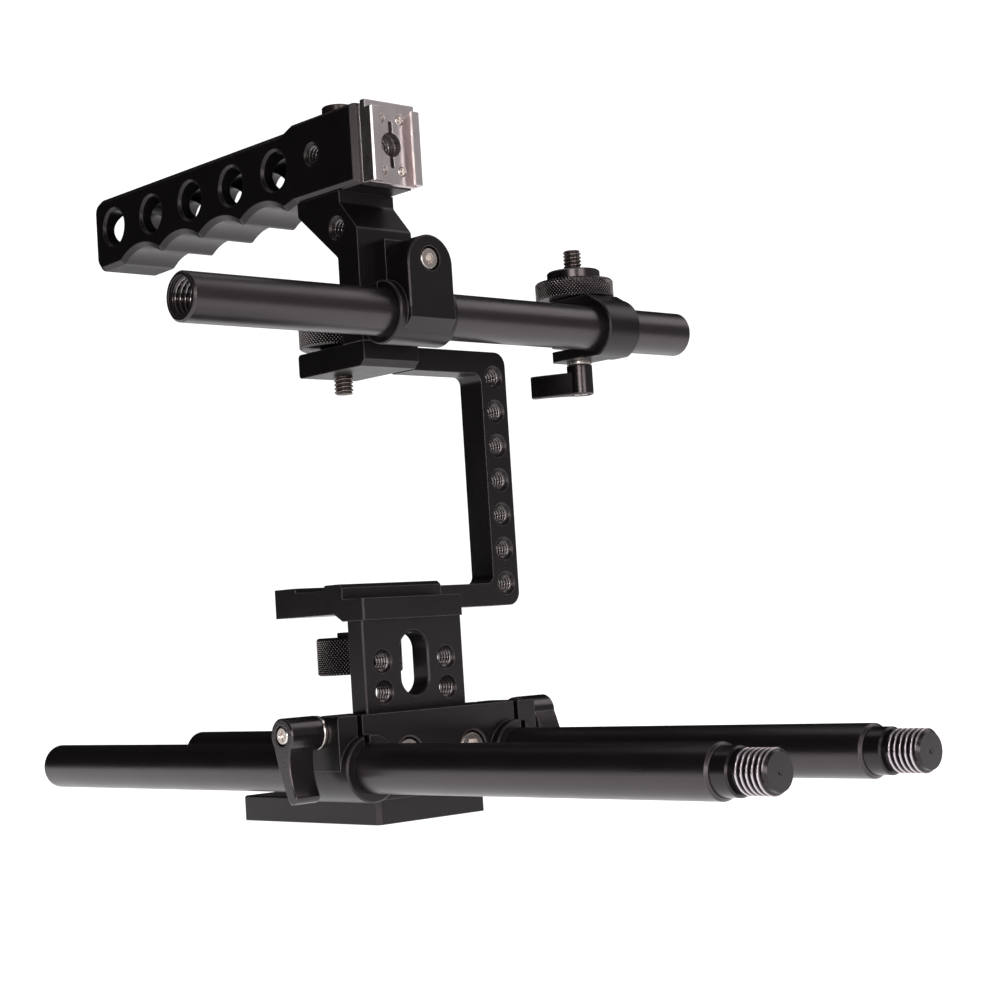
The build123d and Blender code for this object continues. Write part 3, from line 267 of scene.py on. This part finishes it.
def finish(name, colour, roughness, metallic, ior, grain, depth, edge, edge_rub_and_highlight,
           patch=0.014, mottle=0.25, crest=None):
    """Metal or plastic with fine grain, uneven gloss, and slightly rounded edges in a lighter edge
    colour that is partly rubbed metal and partly a painted highlight.

    Grain and patches are noise on Object coordinates. The lighter edge colour, partly rubbed metal and
    partly a painted highlight, grows where the normal rounded over `edge` metres turns away from the
    true one. `crest` is the bare metal that shows on the tips of threads and diamonds, where the
    attribute of that name is high.
    """
    material, nodes, links, shader = new_material(name)
    place = nodes.new("ShaderNodeTexCoord").outputs["Object"]
    fine = noise(nodes, links, place, grain)
    broad = noise(nodes, links, place, patch, 4.0)
    tone = mixed(nodes, links, spread(nodes, links, fine, NOISE_LOW, NOISE_HIGH, 0.0, 1.0),
                 shade(colour, 1.0 - mottle), shade(colour, 1.0 + mottle))
    shader.inputs["Metallic"].default_value = metallic
    shader.inputs["IOR"].default_value = ior
    shader.inputs["Specular Tint"].default_value = SPECULAR_TINT
    gloss = spread(nodes, links, broad, NOISE_LOW, NOISE_HIGH,
                   roughness * GLOSS_LOW, roughness * GLOSS_HIGH)
    bump = nodes.new("ShaderNodeBump")
    bump.inputs["Strength"].default_value = 1.0
    bump.inputs["Distance"].default_value = depth
    links.new(fine, bump.inputs["Height"])
    if edge > 0.0:
        rounded = nodes.new("ShaderNodeBevel")
        rounded.samples = BEVEL_SAMPLES
        rounded.inputs["Radius"].default_value = edge
        true_normal = nodes.new("ShaderNodeNewGeometry").outputs["True Normal"]
        dot = nodes.new("ShaderNodeVectorMath")
        dot.operation = "DOT_PRODUCT"
        links.new(rounded.outputs["Normal"], dot.inputs[0])
        links.new(true_normal, dot.inputs[1])
        # Lighter edge colour where the rounded normal leaves the true one: partly rubbed metal, partly
        # a painted highlight on the edges
        edge_rub_and_highlight_mask = spread(nodes, links, dot.outputs["Value"], EDGE_RUB_HIGHLIGHT_FULL, EDGE_RUB_HIGHLIGHT_NONE, 1.0, 0.0)
        tone = mixed(nodes, links, edge_rub_and_highlight_mask, tone, shade(edge_rub_and_highlight, 1.0))
        links.new(rounded.outputs["Normal"], bump.inputs["Normal"])
    if crest is not None:
        tips = nodes.new("ShaderNodeAttribute")
        tips.attribute_name = "crest"
        rub = spread(nodes, links, tips.outputs["Fac"], RUB_START, 1.0, 0.0, 1.0)
        tone = mixed(nodes, links, rub, tone, shade(crest, 1.0))
        links.new(spread(nodes, links, rub, 0.0, 1.0, metallic, 1.0), shader.inputs["Metallic"])
    links.new(tone, shader.inputs["Base Color"])
    links.new(gloss, shader.inputs["Roughness"])
    links.new(bump.outputs["Normal"], shader.inputs["Normal"])
    return material


def wear_material(obj, material):
    """Puts one material on every face of an object."""
    obj.data.materials.clear()
    obj.data.materials.append(material)


def finish_nodes(slots, material):
    """Puts a material on every shown CAD node whose record slot is one of `slots`."""
    names = [name for name, slot in SLOT_OF.items() if slot in slots]
    if not names:
        raise RuntimeError(f"no node takes its finish from {slots}")
    for name in names:
        wear_material(frame["nodes"][name], material)


# Mesh helpers

def shell(points, loop=False, crossed=None):
    """Corners and triangles of a closed surface through points[row, column] of (x, y, z, crest).

    Columns close round the axis. With `loop` the last row also joins the first, which makes a
    ring; without it the first and last rows are poles, each one corner. A cell is cut along its
    rising diagonal, or along the falling one where `crossed` is true. Cells that shrink to
    nothing are left out.
    """
    rows, columns = points.shape[:2]
    index = np.arange(rows * columns).reshape(rows, columns)
    if not loop:
        index[0] = index[0, 0]
        index[-1] = index[-1, 0]
    low = index if loop else index[:-1]
    high = np.roll(index, -1, axis=0) if loop else index[1:]
    a, b, c, d = low, np.roll(low, -1, axis=1), np.roll(high, -1, axis=1), high
    if crossed is None:
        crossed = np.zeros(low.shape, dtype=bool)
    pick = crossed[..., None]
    first = np.where(pick, np.stack((a, b, d), -1), np.stack((a, b, c), -1))
    second = np.where(pick, np.stack((b, c, d), -1), np.stack((a, c, d), -1))
    triangles = np.concatenate((first.reshape(-1, 3), second.reshape(-1, 3)))
    real = ((triangles[:, 0] != triangles[:, 1]) & (triangles[:, 1] != triangles[:, 2])
            & (triangles[:, 2] != triangles[:, 0]))
    used, triangles = np.unique(triangles[real], return_inverse=True)
    return points.reshape(-1, 4)[used], triangles.reshape(-1, 3)


def stand(points, origin, axis):
    """Turns points made along +Z to lie along `axis` from `origin`; their crest value stays."""
    turn = np.array(Vector(UP).rotation_difference(Vector(axis)).to_matrix())
    moved = points[:, :3] @ turn.T + np.array(origin)
    return np.concatenate((moved, points[:, 3:]), axis=1)


def make_piece(name, parts, material, body, sharp=30.0, replaced=()):
    """One object from (corners, triangles) parts, smooth but over edges past `sharp` degrees.

    The fourth number of a corner is kept as the attribute "crest", which is 1 on the tips of
    threads and diamonds.
    """
    counts = np.cumsum([0] + [len(corners) for corners, _ in parts])
    corners = np.concatenate([corners for corners, _ in parts])
    triangles = np.concatenate([faces + start for (_, faces), start in zip(parts, counts)])
    mesh = bpy.data.meshes.new(name)
    mesh.from_pydata(corners[:, :3].tolist(), [], triangles.tolist())
    crest = mesh.attributes.new("crest", "FLOAT", "POINT")
    crest.data.foreach_set("value", corners[:, 3].astype(np.float32))
    mesh.polygons.foreach_set("use_smooth", np.ones(len(triangles), dtype=bool))
    mesh.set_sharp_from_angle(angle=math.radians(sharp))
    mesh.update()
    obj = bpy.data.objects.new(name, mesh)
    bpy.context.scene.collection.objects.link(obj)
    wear_material(obj, material)
    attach(obj, body)
    if replaced:
        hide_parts(*replaced)
    return obj


def turned(radius, height, crest):
    """Points of a turned surface.

    Row j, column i lies at radius[j, i] from +Z at the angle 2 pi i / columns.
    """
    columns = radius.shape[1]
    angle = np.arange(columns) * FULL_TURN / columns
    height = np.broadcast_to(height, radius.shape)
    crest = np.broadcast_to(crest, radius.shape)
    return np.stack((radius * np.cos(angle), radius * np.sin(angle), height, crest), -1)


def trace(corners, zone, step):
    """Rows of a profile through corners (height, radius), and which rows lie in the height zone.

    Each run between two corners is straight. A run inside `zone` is divided so that its rows are
    `step` apart.
    """
    bottom, top = zone[0] - ZONE_SLACK, zone[1] + ZONE_SLACK
    heights, radii = [corners[0][0]], [corners[0][1]]
    for (z0, r0), (z1, r1) in zip(corners, corners[1:]):
        inside = bottom <= min(z0, z1) and max(z0, z1) <= top
        count = max(1, round(abs(z1 - z0) / step)) if inside else 1
        share = np.arange(1, count + 1) / count
        heights.extend(z0 + (z1 - z0) * share)
        radii.extend(r0 + (r1 - r0) * share)
    heights, radii = np.array(heights), np.array(radii)
    in_zone = (heights >= bottom) & (heights <= top)
    return heights[:, None], radii[:, None], in_zone[:, None]


def thread_wave(angle, height, pitch):
    """1 on the crest and 0 in the root of a right-hand thread.

    The wave is a triangle of height / pitch - angle / (2 pi), cut off flat at both ends.
    """
    turns = (height / pitch - angle / FULL_TURN) % 1.0
    return np.clip((1.0 - np.abs(2.0 * turns - 1.0) - ROOT_FLAT) / FLANK, 0.0, 1.0)


def threaded_shaft(corners, zone, pitch, depth):
    """Shaft along +Z with the profile `corners`, its wall cut by a thread inside `zone`.

    In the zone the radius is the largest of the profile there, less depth times
    (1 - thread wave), and never more than the profile.
    """
    settings = bpy.context.scene.rig_threads
    columns = settings.columns
    height, radius, cut = trace(corners, zone, pitch / settings.rows)
    angle = np.arange(columns)[None, :] * FULL_TURN / columns
    largest = max(r for z, r in corners
                  if zone[0] - ZONE_SLACK <= z <= zone[1] + ZONE_SLACK)
    wave = thread_wave(angle, height, pitch)
    groove = largest - depth * (1.0 - wave)
    plain = np.broadcast_to(radius, groove.shape)
    wall = np.where(cut, np.minimum(plain, groove), plain)
    return shell(turned(wall, height, np.where(cut, wave, 0.0)))


def threaded_sleeve(length, hole_radius, pitch, depth):
    """Thread inside a hole: a ring along +Z from 0 to `length`.

    Its outer wall lies SLEEVE_GAP inside the hole. Its bore is the outer radius less SLEEVE_WALL
    and less depth times the thread wave, which fades out over the last half pitch at both ends.
    """
    settings = bpy.context.scene.rig_threads
    columns = settings.columns
    outer = hole_radius - SLEEVE_GAP
    rows = max(8, round(length / pitch * settings.rows))
    height = (np.arange(rows + 1) / rows * length)[::-1, None]
    angle = np.arange(columns)[None, :] * FULL_TURN / columns
    ends = np.clip(np.minimum(height, length - height) / (0.5 * pitch), 0.0, 1.0)
    wave = thread_wave(angle, height, pitch) * ends
    bore = outer - SLEEVE_WALL - depth * wave
    wall_height = np.array((0.0, length))[:, None]
    wall = np.full((2, columns), outer)
    points = turned(np.concatenate((bore, wall)), np.concatenate((height, wall_height)),
                    np.concatenate((wave, np.zeros_like(wall))))
    return shell(points, loop=True)


def sleeve_at(mouth, axis, length, hole_radius, pitch, depth):
    """Threaded sleeve that starts at `mouth` and runs along `axis`, all in metres."""
    corners, triangles = threaded_sleeve(length, hole_radius, pitch, depth)
    return stand(corners, mouth, axis), triangles


def knurled_knob(corners, zone):
    """Knob along +Z with the profile `corners`, its wall inside `zone` cut into diamonds.

    With u counting diamonds round the knob and v counting them along it, the relief is the
    smaller of the two triangle waves of u + v and u - v, times CREST_SHARE and held at 1. The
    radius is the profile's largest, less depth times (1 - relief), never more than the profile.
    """
    settings = bpy.context.scene.rig_knurl
    steps = settings.steps
    columns = settings.diamonds * 2 * steps
    height, radius, cut = trace(corners, zone, settings.height / (2 * steps))
    u = np.arange(columns)[None, :] / (2 * steps)
    v = (height - zone[0]) / settings.height
    rising, falling = (u + v) % 1.0, (u - v) % 1.0
    relief = np.minimum(1.0 - np.abs(2.0 * rising - 1.0), 1.0 - np.abs(2.0 * falling - 1.0))
    relief = np.clip(relief * CREST_SHARE, 0.0, 1.0)
    diamond = max(r for _, r in corners) - settings.depth * (1.0 - relief)
    plain = np.broadcast_to(radius, diamond.shape)
    wall = np.where(cut, np.minimum(plain, diamond), plain)
    middle_u, middle_v = u + 0.25 / steps, 0.5 * (v[1:] + v[:-1])
    to_rising = np.abs((middle_u + middle_v + 0.5) % 1.0 - 0.5)
    to_falling = np.abs((middle_u - middle_v + 0.5) % 1.0 - 0.5)
    points = turned(wall, height, np.where(cut, relief, 0.0))
    return shell(points, crossed=to_rising < to_falling)


# Pieces

def metals():
    """The finishes by record slot, made once."""
    return {name: bpy.data.materials[name] for name in
            ("Blasted black", "Satin rod", "Lever black", "Stainless", "Nickel", "Oxide steel", "Nylon",
             "Knurled black", "Cut thread", "Bright thread")}


class RIG_OT_mix_finishes(Operator):
    """Mixes the finishes: blasted and satin anodising, steels, nickel and nylon"""

    bl_idname = "rig.mix_finishes"
    bl_label = "Mix finishes"

    def execute(self, context):
        s = context.scene.rig_finish
        # Edge colour of the black finishes: rubbed anodising with a painted highlight on the edges
        edge_rub_and_highlight = (0.12, 0.105, 0.105)
        scratch = 0.012 * MM
        grain, depth, edge = s.grain_size, s.grain_depth, s.edge_width
        finish("Blasted black", s.black_colour, 0.31, 0.0, 1.42, grain, depth, edge, edge_rub_and_highlight)
        finish("Satin rod", s.rod_colour, 0.30, 0.0, 1.62, grain, depth * 0.8, edge, edge_rub_and_highlight)
        finish("Lever black", s.lever_colour, 0.20, 0.0, 1.60, grain * 1.6, depth * 0.7, edge,
               edge_rub_and_highlight, mottle=0.15)
        # The steels, nickel and nylon get edge colours lighter than their own: rubbing with a painted
        # highlight on the edges
        finish("Stainless", s.steel_colour, 0.24, 1.0, 1.5, 0.22 * MM, scratch * 0.4, edge * 0.5,
               (0.86, 0.83, 0.80), patch=0.003, mottle=0.10)
        finish("Nickel", s.nickel_colour, 0.30, 1.0, 1.5, 0.30 * MM, scratch * 0.35, edge * 0.7,
               (0.88, 0.85, 0.82), patch=0.005, mottle=0.10)
        finish("Oxide steel", s.oxide_colour, 0.28, 0.7, 1.6, 0.25 * MM, scratch * 0.5,
               edge * 0.5, (0.20, 0.18, 0.17), patch=0.004, crest=(0.22, 0.18, 0.165))
        finish("Nylon", s.nylon_colour, 0.45, 0.0, 1.5, 0.5 * MM, scratch, edge,
               (0.03, 0.03, 0.03), patch=0.004)
        finish("Knurled black", s.black_colour, 0.24, 0.0, 1.7, grain, depth * 0.4, 0.0, edge_rub_and_highlight,
               crest=(0.75, 0.69, 0.67))
        finish("Cut thread", (0.020, 0.018, 0.018), 0.22, 0.3, 1.7, 0.3 * MM, scratch * 0.3, 0.0,
               edge_rub_and_highlight, crest=(0.34, 0.31, 0.31))
        finish("Bright thread", (0.006, 0.005, 0.006), 0.25, 0.0, 1.45, 0.3 * MM, scratch * 0.4,
               0.0, edge_rub_and_highlight, crest=(0.58, 0.53, 0.57))
        return {"FINISHED"}


class RIG_OT_finish_frame(Operator):
    """Finishes the plates, clamps, handle, rods, levers, screws and shoe of the rig"""

    bl_idname = "rig.finish_frame"
    bl_label = "Finish frame"

    def execute(self, context):
        kinds = metals()
        for slots, kind in ((("black_anodised",), "Blasted black"), (("rod_anodised",), "Satin rod"),
                            (("lever_black",), "Lever black"), (("stainless_steel",), "Stainless"),
                            (("nickel_plate",), "Nickel"), (("black_steel",), "Oxide steel"),
                            (("black_nylon",), "Nylon"), (("knurled_black",), "Knurled black")):
            finish_nodes(slots, kinds[kind])
        return {"FINISHED"}


def knob_profile(radius, height, flip):
    """Corners of a knob from its lower pole to its upper one; its outer face is dished by 0.8 mm."""
    break_edge, dish, rim = 0.7 * MM, 0.8 * MM, 3.0 * MM
    corners = [(dish, 0.0), (dish, radius - rim - 0.3 * MM), (0.0, radius - rim),
               (0.0, radius - break_edge), (break_edge * 0.9, radius),
               (height - break_edge * 0.9, radius), (height, radius - break_edge), (height, 0.0)]
    return corners if flip > 0 else [(height - z, r) for z, r in reversed(corners)]


class RIG_OT_make_knobs(Operator):
    """Makes the two knurled thumb knobs and the knurled lock disc"""

    bl_idname = "rig.make_knobs"
    bl_label = "Make knobs"

    def execute(self, context):
        material = metals()["Knurled black"]
        for node, body, flip in (("camera_knob", "camera_screw", 1), ("top_knob", "top_screw", -1)):
            low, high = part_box(node)
            radius, height = (high.x - low.x) / 2, high.z - low.z
            zone = (KNOB_MARGIN, height - KNOB_MARGIN)
            corners, triangles = knurled_knob(knob_profile(radius, height, flip), zone)
            centre = ((low.x + high.x) / 2, (low.y + high.y) / 2, low.z)
            make_piece(node + "_knurled", [(stand(corners, centre, UP), triangles)], material,
                       body, sharp=KNOB_SHARP, replaced=(node,))
        low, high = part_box("accessory_lock_disc")
        radius, height = (high.x - low.x) / 2, high.z - low.z
        band, boss, bore, edge = 6.3 * MM, 9.2 * MM, 3.17 * MM, 0.6 * MM
        outline = [(0.0, 0.0), (0.0, radius - edge), (edge, radius), (band - edge, radius),
                   (band, radius - edge), (band, boss), (height - 0.5 * MM, boss),
                   (height, boss - 0.5 * MM), (height, bore),
                   (height - 0.8 * MM, bore - 0.1 * MM), (height - 0.8 * MM, 0.0)]
        corners, triangles = knurled_knob(outline, (edge, band - edge))
        centre = ((low.x + high.x) / 2, (low.y + high.y) / 2, low.z)
        make_piece("accessory_lock_disc_knurled", [(stand(corners, centre, UP), triangles)],
                   material, "lock_disc", sharp=KNOB_SHARP,
                   replaced=("accessory_lock_disc",))
        return {"FINISHED"}


class RIG_OT_cut_screws(Operator):
    """Cuts threads on the two camera screws, the accessory stud and the rod connectors"""

    bl_idname = "rig.cut_screws"
    bl_label = "Cut screw threads"

    def execute(self, context):
        kinds = metals()
        pitch = context.scene.rig_threads.camera_pitch
        for node, body, axis, run in (("camera_screw", "camera_screw", UP, SCREW_RUN),
                                      ("top_screw", "top_screw", DOWN, SCREW_RUN),
                                      ("accessory_stud", "accessory_clamp", UP, STUD_RUN)):
            low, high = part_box(node)
            length = high.z - low.z
            outline = [(0.0, 0.0), (0.0, SHANK_RADIUS), (length - run, SHANK_RADIUS),
                       (length - run, THREAD_RADIUS), (length - TIP, THREAD_RADIUS),
                       (length, THREAD_RADIUS - TIP), (length, 0.0)]
            zone = (length - run, length)
            shaft, triangles = threaded_shaft(outline, zone, pitch, CAMERA_DEPTH)
            foot = ((low.x + high.x) / 2, (low.y + high.y) / 2, low.z if axis == UP else high.z)
            make_piece(node + "_threaded", [(stand(shaft, foot, axis), triangles)],
                       kinds["Oxide steel"], body, replaced=(node,))
        pitch = context.scene.rig_threads.rod_pitch
        plug, collar, thread, core = 5.9 * MM, 6.5 * MM, 6.0 * MM, 5.0 * MM
        for side in ("left", "right"):
            node = side + "_rod_connector"
            low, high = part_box(node)
            length = high.y - low.y
            neck = length - 17.4 * MM
            end = neck + 5.6 * MM
            cut = end + 1.4 * MM
            outline = [(0.0, 0.0), (0.0, plug), (neck, plug), (neck, collar),
                       (end - 0.5 * MM, collar), (end, thread), (end, core), (cut, core),
                       (cut, 5.6 * MM), (cut + 0.4 * MM, thread), (length - 1.0 * MM, thread),
                       (length, core), (length, 0.9 * MM), (length - 0.9 * MM, 0.0)]
            zone = (cut, length - 0.95 * MM)
            shaft, triangles = threaded_shaft(outline, zone, pitch, ROD_DEPTH)
            foot = ((low.x + high.x) / 2, high.y, (low.z + high.z) / 2)
            make_piece(node + "_threaded", [(stand(shaft, foot, (0.0, -1.0, 0.0)), triangles)],
                       kinds["Bright thread"], side + "_rod", replaced=(node,))
        return {"FINISHED"}


class RIG_OT_tap_holes(Operator):
    """Taps the threads inside the mounting holes of the frame and the ends of the rods"""

    bl_idname = "rig.tap_holes"
    bl_label = "Tap holes"

    def execute(self, context):
        kinds = metals()
        s = context.scene.rig_threads
        quarter = (3.175 * MM, s.camera_pitch, 0.62 * MM)
        tripod = (4.7625 * MM, s.tripod_pitch, 0.80 * MM)
        rod = (6.0 * MM, s.rod_pitch, 0.75 * MM)

        def place(x, y, z):
            """Point in metres from millimetres."""
            return (x * MM, y * MM, z * MM)

        riser_low, riser_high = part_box("riser_plate")
        riser = [sleeve_at((x * MM, riser_low.y + 0.45 * MM, z * MM), (0, 1, 0),
                           riser_high.y - riser_low.y - 0.9 * MM, *quarter)
                 for z in RISER_Z for x in RISER_X]
        hole_x, hole_y, hole_z = BRACKET_FIRST
        bracket = [sleeve_at(place(hole_x, hole_y, hole_z + BRACKET_PITCH * k), (0, 1, 0),
                             9.3 * MM, *quarter) for k in range(BRACKET_HOLES)]
        handle = [sleeve_at(place(-HANDLE_SIDE_X, HANDLE_SIDE_Y, HANDLE_SIDE_Z), (1, 0, 0),
                            5.6 * MM, *quarter),
                  sleeve_at(place(HANDLE_SIDE_X, HANDLE_SIDE_Y, HANDLE_SIDE_Z), (-1, 0, 0),
                            5.6 * MM, *quarter),
                  sleeve_at(place(0.0, -30.2, 212.4), (0, 1, 0), 15.8 * MM, *quarter)]
        neck = [sleeve_at(place(-10.4, -17.9, 187.7), (1, 0, 0), 20.8 * MM, *quarter)]
        base = [sleeve_at(place(0.0, y, 0.1), (0, 0, 1), 7.8 * MM, *size)
                for y, size in ((0.0, tripod), (-16.0, quarter), (16.0, quarter))]
        for name, parts in (("riser_plate_threads", riser), ("side_bracket_threads", bracket),
                            ("handle_threads", handle), ("handle_riser_threads", neck),
                            ("base_plate_threads", base)):
            make_piece(name, parts, kinds["Cut thread"], "frame")
        low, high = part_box("top_rod")
        middle_y, middle_z = (low.y + high.y) / 2, (low.z + high.z) / 2
        ends = [sleeve_at((low.x + 0.8 * MM, middle_y, middle_z), (1, 0, 0), 15.0 * MM, *rod),
                sleeve_at((high.x - 0.8 * MM, middle_y, middle_z), (-1, 0, 0), 15.0 * MM, *rod)]
        make_piece("top_rod_threads", ends, kinds["Cut thread"], "top_rod")
        for side in ("left", "right"):
            low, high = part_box(side + "_rod")
            rear = ((low.x + high.x) / 2, high.y - 0.8 * MM, (low.z + high.z) / 2)
            make_piece(side + "_rod_threads", [sleeve_at(rear, (0, -1, 0), 15.0 * MM, *rod)],
                       kinds["Cut thread"], side + "_rod")
        return {"FINISHED"}


def soft_box(name, place, target, size, power, colour):
    """Rectangular area light that points at a target and that the camera doesn't see."""
    light = bpy.data.lights.new(name, "AREA")
    light.shape = "RECTANGLE"
    light.size, light.size_y = size
    light.energy = power
    light.color = colour
    obj = bpy.data.objects.new(name, light)
    bpy.context.scene.collection.objects.link(obj)
    obj.location = place
    obj.rotation_euler = (Vector(target) - Vector(place)).to_track_quat("-Z", "Y").to_euler()
    obj.visible_camera = False


class RIG_OT_set_stage(Operator):
    """Lays the pale floor and sets the white studio, the soft boxes and the camera"""

    bl_idname = "rig.set_stage"
    bl_label = "Set stage"

    def execute(self, context):
        s = context.scene.rig_stage
        line = np.linspace(-FLOOR_REACH, FLOOR_REACH, FLOOR_ROWS)
        x, y = np.meshgrid(line, line)
        corners = np.stack((x, y, np.full_like(x, FLOOR_DROP)), -1).reshape(-1, 3)
        index = np.arange(FLOOR_ROWS * FLOOR_ROWS).reshape(FLOOR_ROWS, FLOOR_ROWS)
        squares = np.stack((index[:-1, :-1], index[:-1, 1:], index[1:, 1:], index[1:, :-1]), -1)
        mesh = bpy.data.meshes.new("floor")
        mesh.from_pydata(corners.tolist(), [], squares.reshape(-1, 4).tolist())
        floor = bpy.data.objects.new("floor", mesh)
        context.scene.collection.objects.link(floor)
        material, nodes, links, shader = new_material("Studio floor")
        place = nodes.new("ShaderNodeTexCoord").outputs["Object"]
        patch = noise(nodes, links, place, 0.4, 3.0)
        tone = mixed(nodes, links, patch, shade(s.floor_colour, 0.99), shade(s.floor_colour, 1.0))
        links.new(tone, shader.inputs["Base Color"])
        shader.inputs["Roughness"].default_value = 0.8
        shader.inputs["Emission Color"].default_value = shade(s.floor_colour, 1.0)
        shader.inputs["Emission Strength"].default_value = s.floor_glow
        wear_material(floor, material)

        world = bpy.data.worlds.new("Studio")
        context.scene.world = world
        world.use_nodes = True
        tree = world.node_tree
        tree.nodes.clear()
        nodes, links = tree.nodes, tree.links
        side = nodes.new("ShaderNodeVectorMath")
        side.operation = "DOT_PRODUCT"
        side.inputs[1].default_value = Vector(LIT_SIDE).normalized()
        links.new(nodes.new("ShaderNodeTexCoord").outputs["Generated"], side.inputs[0])
        room = spread(nodes, links, side.outputs["Value"], 0.25, 1.0, s.room_back, s.room_front)
        lit = nodes.new("ShaderNodeBackground")
        seen = nodes.new("ShaderNodeBackground")
        lit.inputs["Color"].default_value = LIT_COLOUR
        links.new(room, lit.inputs["Strength"])
        seen.inputs["Color"].default_value = (1.0, 1.0, 1.0, 1.0)
        seen.inputs["Strength"].default_value = s.wall_glow
        blend = nodes.new("ShaderNodeMixShader")
        links.new(nodes.new("ShaderNodeLightPath").outputs["Is Camera Ray"], blend.inputs["Fac"])
        links.new(lit.outputs["Background"], blend.inputs[1])
        links.new(seen.outputs["Background"], blend.inputs[2])
        links.new(blend.outputs["Shader"], nodes.new("ShaderNodeOutputWorld").inputs["Surface"])
        context.scene.view_settings.view_transform = "Standard"

        for name, spot, size, power, colour in (
                ("front box", (-0.15, -1.30, 0.45), (0.55, 0.9), s.front_power, (1.0, 0.93, 0.95)),
                ("side box", (1.05, -0.50, 1.10), (0.8, 0.8), s.side_power, (1.0, 0.95, 0.97)),
                ("near box", (-1.12, -1.06, 0.30), (0.6, 0.6), s.near_power, (1.0, 0.94, 0.93)),
                ("top box", (0.15, 0.25, 1.40), (1.2, 1.2), s.top_power, (1.0, 0.98, 0.97))):
            soft_box(name, spot, AIM, size, power, colour)

        camera = bpy.data.cameras.new("Camera")
        camera.sensor_width = SENSOR_WIDTH
        camera.lens = s.lens
        eye = bpy.data.objects.new("Camera", camera)
        context.scene.collection.objects.link(eye)
        tilt, roll, heading = s.camera_turn
        turn = (Matrix.Rotation(heading, 4, "Z") @ Matrix.Rotation(tilt, 4, "X")
                @ Matrix.Rotation(roll, 4, "Z"))
        eye.matrix_world = Matrix.Translation(s.camera_place) @ turn
        context.scene.camera = eye
        return {"FINISHED"}


class RIG_PT_looks(Panel):
    """Lists the steps that dress the rig"""

    bl_idname = "RIG_PT_looks"
    bl_label = "Camera Rig"
    bl_space_type = "VIEW_3D"
    bl_region_type = "UI"
    bl_category = "Rig"

    def draw(self, context):
        layout = self.layout
        for operator in OPERATORS:
            layout.operator(operator.bl_idname)
        for setting in SETTINGS:
            group = getattr(context.scene, setting)
            box = layout.box()
            for name in group.__annotations__:
                box.prop(group, name)


OPERATORS = (RIG_OT_mix_finishes, RIG_OT_finish_frame, RIG_OT_make_knobs, RIG_OT_cut_screws,
             RIG_OT_tap_holes, RIG_OT_set_stage)
SETTINGS = {"rig_finish": RigFinishSettings, "rig_threads": RigThreadSettings,
            "rig_knurl": RigKnurlSettings, "rig_stage": RigStageSettings}


def register():
    """Registers the classes and hangs the settings on the scene."""
    for kind in (*SETTINGS.values(), *OPERATORS, RIG_PT_looks):
        bpy.utils.register_class(kind)
    for name, kind in SETTINGS.items():
        setattr(bpy.types.Scene, name, PointerProperty(type=kind))


def unregister():
    """Takes the settings off the scene and unregisters the classes."""
    for name in SETTINGS:
        delattr(bpy.types.Scene, name)
    for kind in reversed((*SETTINGS.values(), *OPERATORS, RIG_PT_looks)):
        bpy.utils.unregister_class(kind)


def main():
    """Registers the add-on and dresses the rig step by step."""
    register()
    bpy.ops.rig.mix_finishes()
    bpy.ops.rig.finish_frame()
    bpy.ops.rig.make_knobs()
    bpy.ops.rig.cut_screws()
    bpy.ops.rig.tap_holes()
    bpy.ops.rig.set_stage()


if __name__ == "__main__":
    main()
